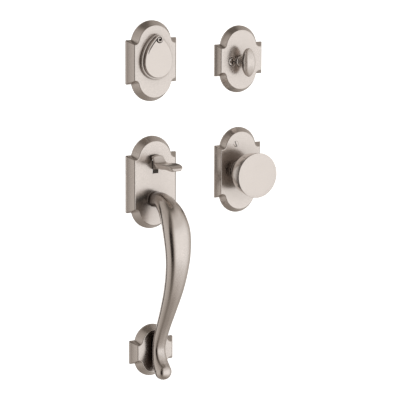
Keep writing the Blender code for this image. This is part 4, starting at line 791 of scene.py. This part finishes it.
def pullRings(alongSteps=9, roundSteps=72):
    line = smoothLine(pullShape["stations"], alongSteps)
    rings = []
    run = Vector((0.0, 0.0, 1.0))
    for i, (out, up, wide, thick) in enumerate(line):
        near = line[max(i - 1, 0)]
        far = line[min(i + 1, len(line) - 1)]
        if i > 0:
            run = Vector((0.0, far[1] - near[1], far[0] - near[0])).normalized()
        rings.append((Vector((0.0, up, out)), run.copy(), wide, thick))
    middle, run, wide, thick = rings[-1]
    # ball end, turned out and away from the door
    for i in range(1, pullShape["ballSteps"]):
        lean = math.radians(90 * i / pullShape["ballSteps"])
        rings.append((middle + run * thick * math.sin(lean), run, wide * math.cos(lean),
                      thick * math.cos(lean)))
    skinRings = []
    for spot, along, wide, thick in rings:
        normal = Vector((0.0, along.z, -along.y))
        skinRings.append([tuple(spot + normal * thick * math.sin(2 * math.pi * k / roundSteps)
                                + Vector((wide * math.cos(2 * math.pi * k / roundSteps), 0.0, 0.0)))
                          for k in range(roundSteps)])
    return skinRings


def makeHandle():
    parts = handleParts
    plate = plateMesh("handlePlate", plateSizes["handlePlate"], outsideSection)
    outer = parts["lugInner"] + parts["lugThick"]
    ledgeTop = parts["ledgeUp"] + parts["ledgeThick"]
    grow = [block("web", (-parts["webReach"], -parts["webHalf"], 0.0),
                  (parts["webReach"], parts["webHalf"], outsidePocket + over))]
    for side in (-1, 1):
        edges = sorted((side * parts["lugInner"], side * outer))
        grow.append(block("lug", (edges[0], parts["lugLow"], -parts["ledgeRear"]),
                          (edges[1], ledgeTop, outsidePocket + over)))
    grow.append(block("ledge", (-outer, parts["ledgeUp"], -parts["ledgeRear"]),
                      (outer, ledgeTop, parts["pinOut"] - parts["hubRadius"])))
    plate = fuse(plate, grow)
    slotHalf = parts["slotWidth"] / 2
    plate = carve(plate, [
        crossRod("bore", parts["pinRadius"] + fit, -outer - over, outer + over, parts["pinUp"],
                 parts["pinOut"]),
        block("slot", (-slotHalf, parts["slotLow"], outsidePocket - over),
              (slotHalf, parts["slotHigh"], outsideFace + over)),
        rod("bore", parts["boltRadius"] + fit, outsidePocket - over, outsideFace + over, 0.0,
            parts["rootUp"])])
    dress("handlePlate", plate, "handle", "fixed_set", "handle_plate")

    shape = thumbShape
    thumb = skin("thumbpiece", [thumbRing(*station)
                                for station in smoothLine(shape["stations"], 6)])
    half = slotHalf - shape["slotPlay"]
    neck = skin("neck", [[(side, up, out) for out, up in shape["neck"]]
                         for side in (-half, half)])
    tail = block("tail", (-shape["tailWidth"] / 2, parts["pinUp"] - shape["tailThick"] / 2,
                          -shape["tailRear"]),
                 (shape["tailWidth"] / 2, parts["pinUp"] + shape["tailThick"] / 2,
                  parts["pinOut"]))
    thumb = fuse(thumb, [neck, crossRod("hub", parts["hubRadius"], -half, half, parts["pinUp"],
                                        parts["pinOut"]), tail])
    thumb = carve(thumb, [crossRod("bore", parts["pinRadius"] + fit, -half - over, half + over,
                                   parts["pinUp"], parts["pinOut"])])
    dress("thumbRest", thumb, "handle", "thumbpiece", "thumbpiece", sharp=35,
          finish=pressedNickel)

    shape = pullShape
    pull = skin("pull", pullRings())
    # post from the foot rose into the lowest bend; the first four stations are the root's
    lowest = min(station[0] for station in shape["stations"][4:])
    postSteps = shape["postSteps"]
    postSizes = ((1.0, outsideFace + fit),
                 (shape["postWaist"], outsideFace + shape["postWaistOut"]),
                 (shape["postEnd"], lowest))
    post = skin("post", [[(shape["postWidth"] * size * math.cos(2 * math.pi * k / postSteps),
                           shape["footUp"] + shape["postHeight"] * size
                           * math.sin(2 * math.pi * k / postSteps), out)
                          for k in range(postSteps)] for size, out in postSizes])
    pull = fuse(pull, [post])
    pull = carve(pull, [
        rod("bore", parts["boltRadius"] + fit, outsideFace - over,
            outsideFace + shape["boltReach"] + fit, 0.0, parts["rootUp"]),
        rod("bore", shape["footBoltRadius"] + fit, outsideFace - over,
            outsideFace + shape["footBoltReach"] + fit, 0.0, shape["footUp"])])
    dress("pull", pull, "handle", "fixed_set", "pull_handle", sharp=40,
          finish=handledShadedNickel)

    rose = plateMesh("footRose", plateSizes["footRose"], outsideSection)
    rose = carve(rose, [rod("bore", shape["footBoltRadius"] + fit, outsidePocket - over,
                            outsideFace + over)])
    dress("footRose", rose, "foot", "fixed_set", "foot_rose")


makeHandle()
print("outside handle ready")


# Inside thumb turn

turnParts = {                 # mm
    "raise": 1.9, "screwSpacing": 26.0, "screwHead": 4.9, "screwHeadDepth": 2.6,
    "screwRadius": 2.0, "screwRear": 26.0, "cross": 7.0, "crossWidth": 1.8, "crossDepth": 2.2,
    "bushBase": 7.6, "bushTop": 5.2, "bushHeight": 5.6, "bushStem": 5.0,
    # corners of the bushing's skirt: beyond its top's or base's radius, out, rounding
    "bushNeck": (0.2, 2.6, 1.5), "bushFlange": (-0.9, 1.4, 0.5), "bushEdge": (0.0, 1.2, 0.4),
    "spindleRadius": 3.0, "socketDepth": 9.0,
    "halfHeight": 17.6, "halfWidth": 6.5, "length": 16.8, "bend": 4.0,
    # share of the length, of the half height, of the half width and of the bend
    "sections": ((0.0, 0.28, 0.64, 0.0), (0.03, 0.42, 0.70, 0.0), (0.10, 0.62, 0.82, 0.06),
                 (0.18, 0.76, 0.93, 0.14), (0.27, 0.86, 0.975, 0.26), (0.40, 0.94, 0.93, 0.42),
                 (0.52, 0.965, 0.865, 0.60), (0.62, 0.955, 0.80, 0.73), (0.66, 0.925, 0.73, 0.78),
                 (0.73, 0.915, 0.71, 0.84), (0.75, 0.95, 0.83, 0.87), (0.765, 0.985, 0.95, 0.9),
                 (0.79, 1.0, 0.99, 0.94), (0.86, 1.0, 1.0, 1.0),
                 (0.89, 0.99, 0.975, 1.0), (0.92, 0.96, 0.91, 0.97), (0.96, 0.80, 0.70, 0.75),
                 (0.985, 0.50, 0.40, 0.40), (1.0, 0.20, 0.15, 0.10)),
}


def makeTurn(roundSteps=64):
    parts = turnParts
    rose = plateMesh("turnRose", plateSizes["turnRose"], insideSection, parts["raise"])
    headFront = insideFace - fit
    slope = (parts["screwHead"] - parts["screwRadius"]) / parts["screwHeadDepth"]
    clear = fit * math.hypot(1.0, slope)
    low = insidePocket - over
    high = insideFace + over
    tools = [rod("bore", parts["bushStem"] + fit, low, high)]
    for side, stands in ((-1, "turn_screw_left"), (1, "turn_screw_right")):
        across = side * parts["screwSpacing"] / 2
        tools.append(rod("sink", parts["screwHead"] - slope * (headFront - low) + clear, low, high,
                         across, top=parts["screwHead"] + slope * (high - headFront) + clear))
        screw = turned("screw", [
            (0.0, headFront), (parts["screwHead"], headFront, 0.15),
            (parts["screwRadius"], headFront - parts["screwHeadDepth"]),
            (parts["screwRadius"], -parts["screwRear"], 0.4), (0.0, -parts["screwRear"])],
            48, across)
        arms = []
        for halfAcross, halfUp in ((parts["cross"] / 2, parts["crossWidth"] / 2),
                                   (parts["crossWidth"] / 2, parts["cross"] / 2)):
            arms.append(block("arm", (across - halfAcross, -halfUp,
                                      headFront - parts["crossDepth"]),
                              (across + halfAcross, halfUp, headFront + over)))
        screw = carve(screw, arms)
        name = "turnScrewLeft" if side < 0 else "turnScrewRight"
        dress(name, screw, "turn", "fixed_set", stands, finish=fittingNickel)
    dress("turnRose", carve(rose, tools), "turn", "fixed_set", "turn_rose")

    back = insideFace + fit
    front = back + parts["bushHeight"]
    inner = parts["spindleRadius"] + fit
    skirt = [(radius + wider, back + out, rounding) for radius, (wider, out, rounding) in (
        (parts["bushTop"], parts["bushNeck"]), (parts["bushBase"], parts["bushFlange"]),
        (parts["bushBase"], parts["bushEdge"]))]
    bushing = turned("turnBushing", [
        (inner, front), (parts["bushTop"], front, 0.6), *skirt, (parts["bushBase"], back),
        (parts["bushStem"], back), (parts["bushStem"], insidePocket), (inner, insidePocket)],
        steps=72, ring=True)
    dress("turnBushing", bushing, "turn", "fixed_set", "turn_bushing", finish=fittingNickel)

    base = front + fit
    rings = []
    for share, tall, wide, bend in smoothLine(parts["sections"], 4):
        ring = []
        for k in range(roundSteps):
            lean = 2 * math.pi * k / roundSteps
            ring.append((parts["halfWidth"] * wide * math.cos(lean),
                         parts["halfHeight"] * tall * math.sin(lean),
                         base + parts["length"] * share
                         - parts["bend"] * bend * math.sin(lean) ** 2))
        rings.append(ring)
    grip = carve(skin("turnGrip", rings), [rod("bore", inner, base - over,
                                              base + parts["socketDepth"] + fit)])
    dress("turnGrip", grip, "turn", "turn", "turn_piece", sharp=45, finish=fittingNickel)


makeTurn()
print("thumb turn ready")


# Inside knob

knobParts = {                 # mm
    "raise": 0.8, "radius": 27.6, "front": 48.0, "back": 20.5, "shank": 9.2, "shankRear": 4.4,
    "bushRadius": 12.8, "flange": 15.0, "flangeDepth": 1.6, "spindle": 7.6, "socketDepth": 22.0,
    "groove": 0.9, "clipThick": 0.8,
    "dish": (0.8, 0.08),      # share of the radius, and mm that the face falls by there
    # share of the radius, share of the drum's depth back from its face, rounding in mm
    "rim": ((1.0, 0.015, 0.8), (1.0, 0.032, 0.2), (0.95, 0.038, 0.2), (0.95, 0.078, 0.2),
            (0.993, 0.086, 0.3)),
    # the same, with the depth out from the drum's rear
    "cup": ((0.90, 0.273, 6.0), (0.77, 0.145, 5.0), (0.64, 0.047, 5.0), (0.53, 0.0, 3.0)),
    # share of the shank's radius, share of the drum's depth back from its rear, rounding
    "throat": ((1.09, 0.058, 2.0), (1.0, 0.13, 2.0)),
    "lockAcross": -7.2, "lockUp": 34.4, "lockRadius": 3.6, "lockLength": 4.5,
    "lockPlay": 0.06,         # a threaded fit, closer than the other pieces
    "lockSlot": 1.0,
    "lockSlotDepth": 0.3,     # share of the lock screw's radius
    "lockLean": 20.0,         # degrees
}


def makeKnob():
    parts = knobParts
    rose = plateMesh("knobRose", plateSizes["knobRose"], insideSection, parts["raise"])
    lockSpot = (parts["lockAcross"], parts["lockUp"])
    low = insidePocket - over
    high = insideFace + over
    rose = carve(rose, [rod("bore", parts["bushRadius"] + fit, low, high),
                        rod("bore", parts["lockRadius"] + parts["lockPlay"], low, high, *lockSpot)])
    dress("knobRose", rose, "knob", "fixed_set", "knob_rose")

    screw = turned("lockScrew", [
        (0.0, insideFace), (parts["lockRadius"], insideFace, 0.25),
        (parts["lockRadius"], insideFace - parts["lockLength"], 0.3),
        (0.0, insideFace - parts["lockLength"])], 40)
    past = parts["lockRadius"] + over
    half = parts["lockSlot"] / 2
    slot = block("slot",
                 (-half, -past, insideFace - parts["lockRadius"] * parts["lockSlotDepth"]),
                 (half, past, high))
    slot.transform(Matrix.Rotation(math.radians(parts["lockLean"]), 4, "Z"))
    screw = carve(screw, [slot])
    screw.transform(Matrix.Translation((*lockSpot, 0.0)))
    dress("roseLockScrew", screw, "knob", "fixed_set", "rose_lock_screw")

    back = insideFace + fit
    front = back + parts["flangeDepth"]
    inner = parts["shank"] + fit
    bushing = turned("knobBushing", [
        (inner, front), (parts["flange"], front, 0.6), (parts["flange"], back),
        (parts["bushRadius"], back), (parts["bushRadius"], insidePocket), (inner, insidePocket)],
        steps=96, ring=True)
    dress("knobBushing", bushing, "knob", "fixed_set", "knob_bushing")

    radius, face, rear, shank = parts["radius"], parts["front"], parts["back"], parts["shank"]
    drum = face - rear
    clipLow = insidePocket - 2 * fit - parts["clipThick"]
    dishShare, dishDrop = parts["dish"]
    profile = [(0.0, face), (radius * dishShare, face - dishDrop)]
    for whole, start, way, corners in ((radius, face, -drum, "rim"), (radius, rear, drum, "cup"),
                                       (shank, rear, -drum, "throat")):
        profile += [(whole * share, start + way * along, rounding)
                    for share, along, rounding in parts[corners]]
    knob = turned("drumKnob", profile + [
        (shank, insidePocket), (shank - parts["groove"], insidePocket),
        (shank - parts["groove"], clipLow), (shank, clipLow), (shank, parts["shankRear"], 0.4),
        (0.0, parts["shankRear"])], 128)
    side = parts["spindle"] / 2 + fit
    knob = carve(knob, [block("socket", (-side, -side, parts["shankRear"] - over),
                              (side, side, parts["shankRear"] + parts["socketDepth"] + fit))])
    dress("drumKnob", knob, "knob", "knob", "knob", sharp=28)


makeKnob()
print("knob ready")
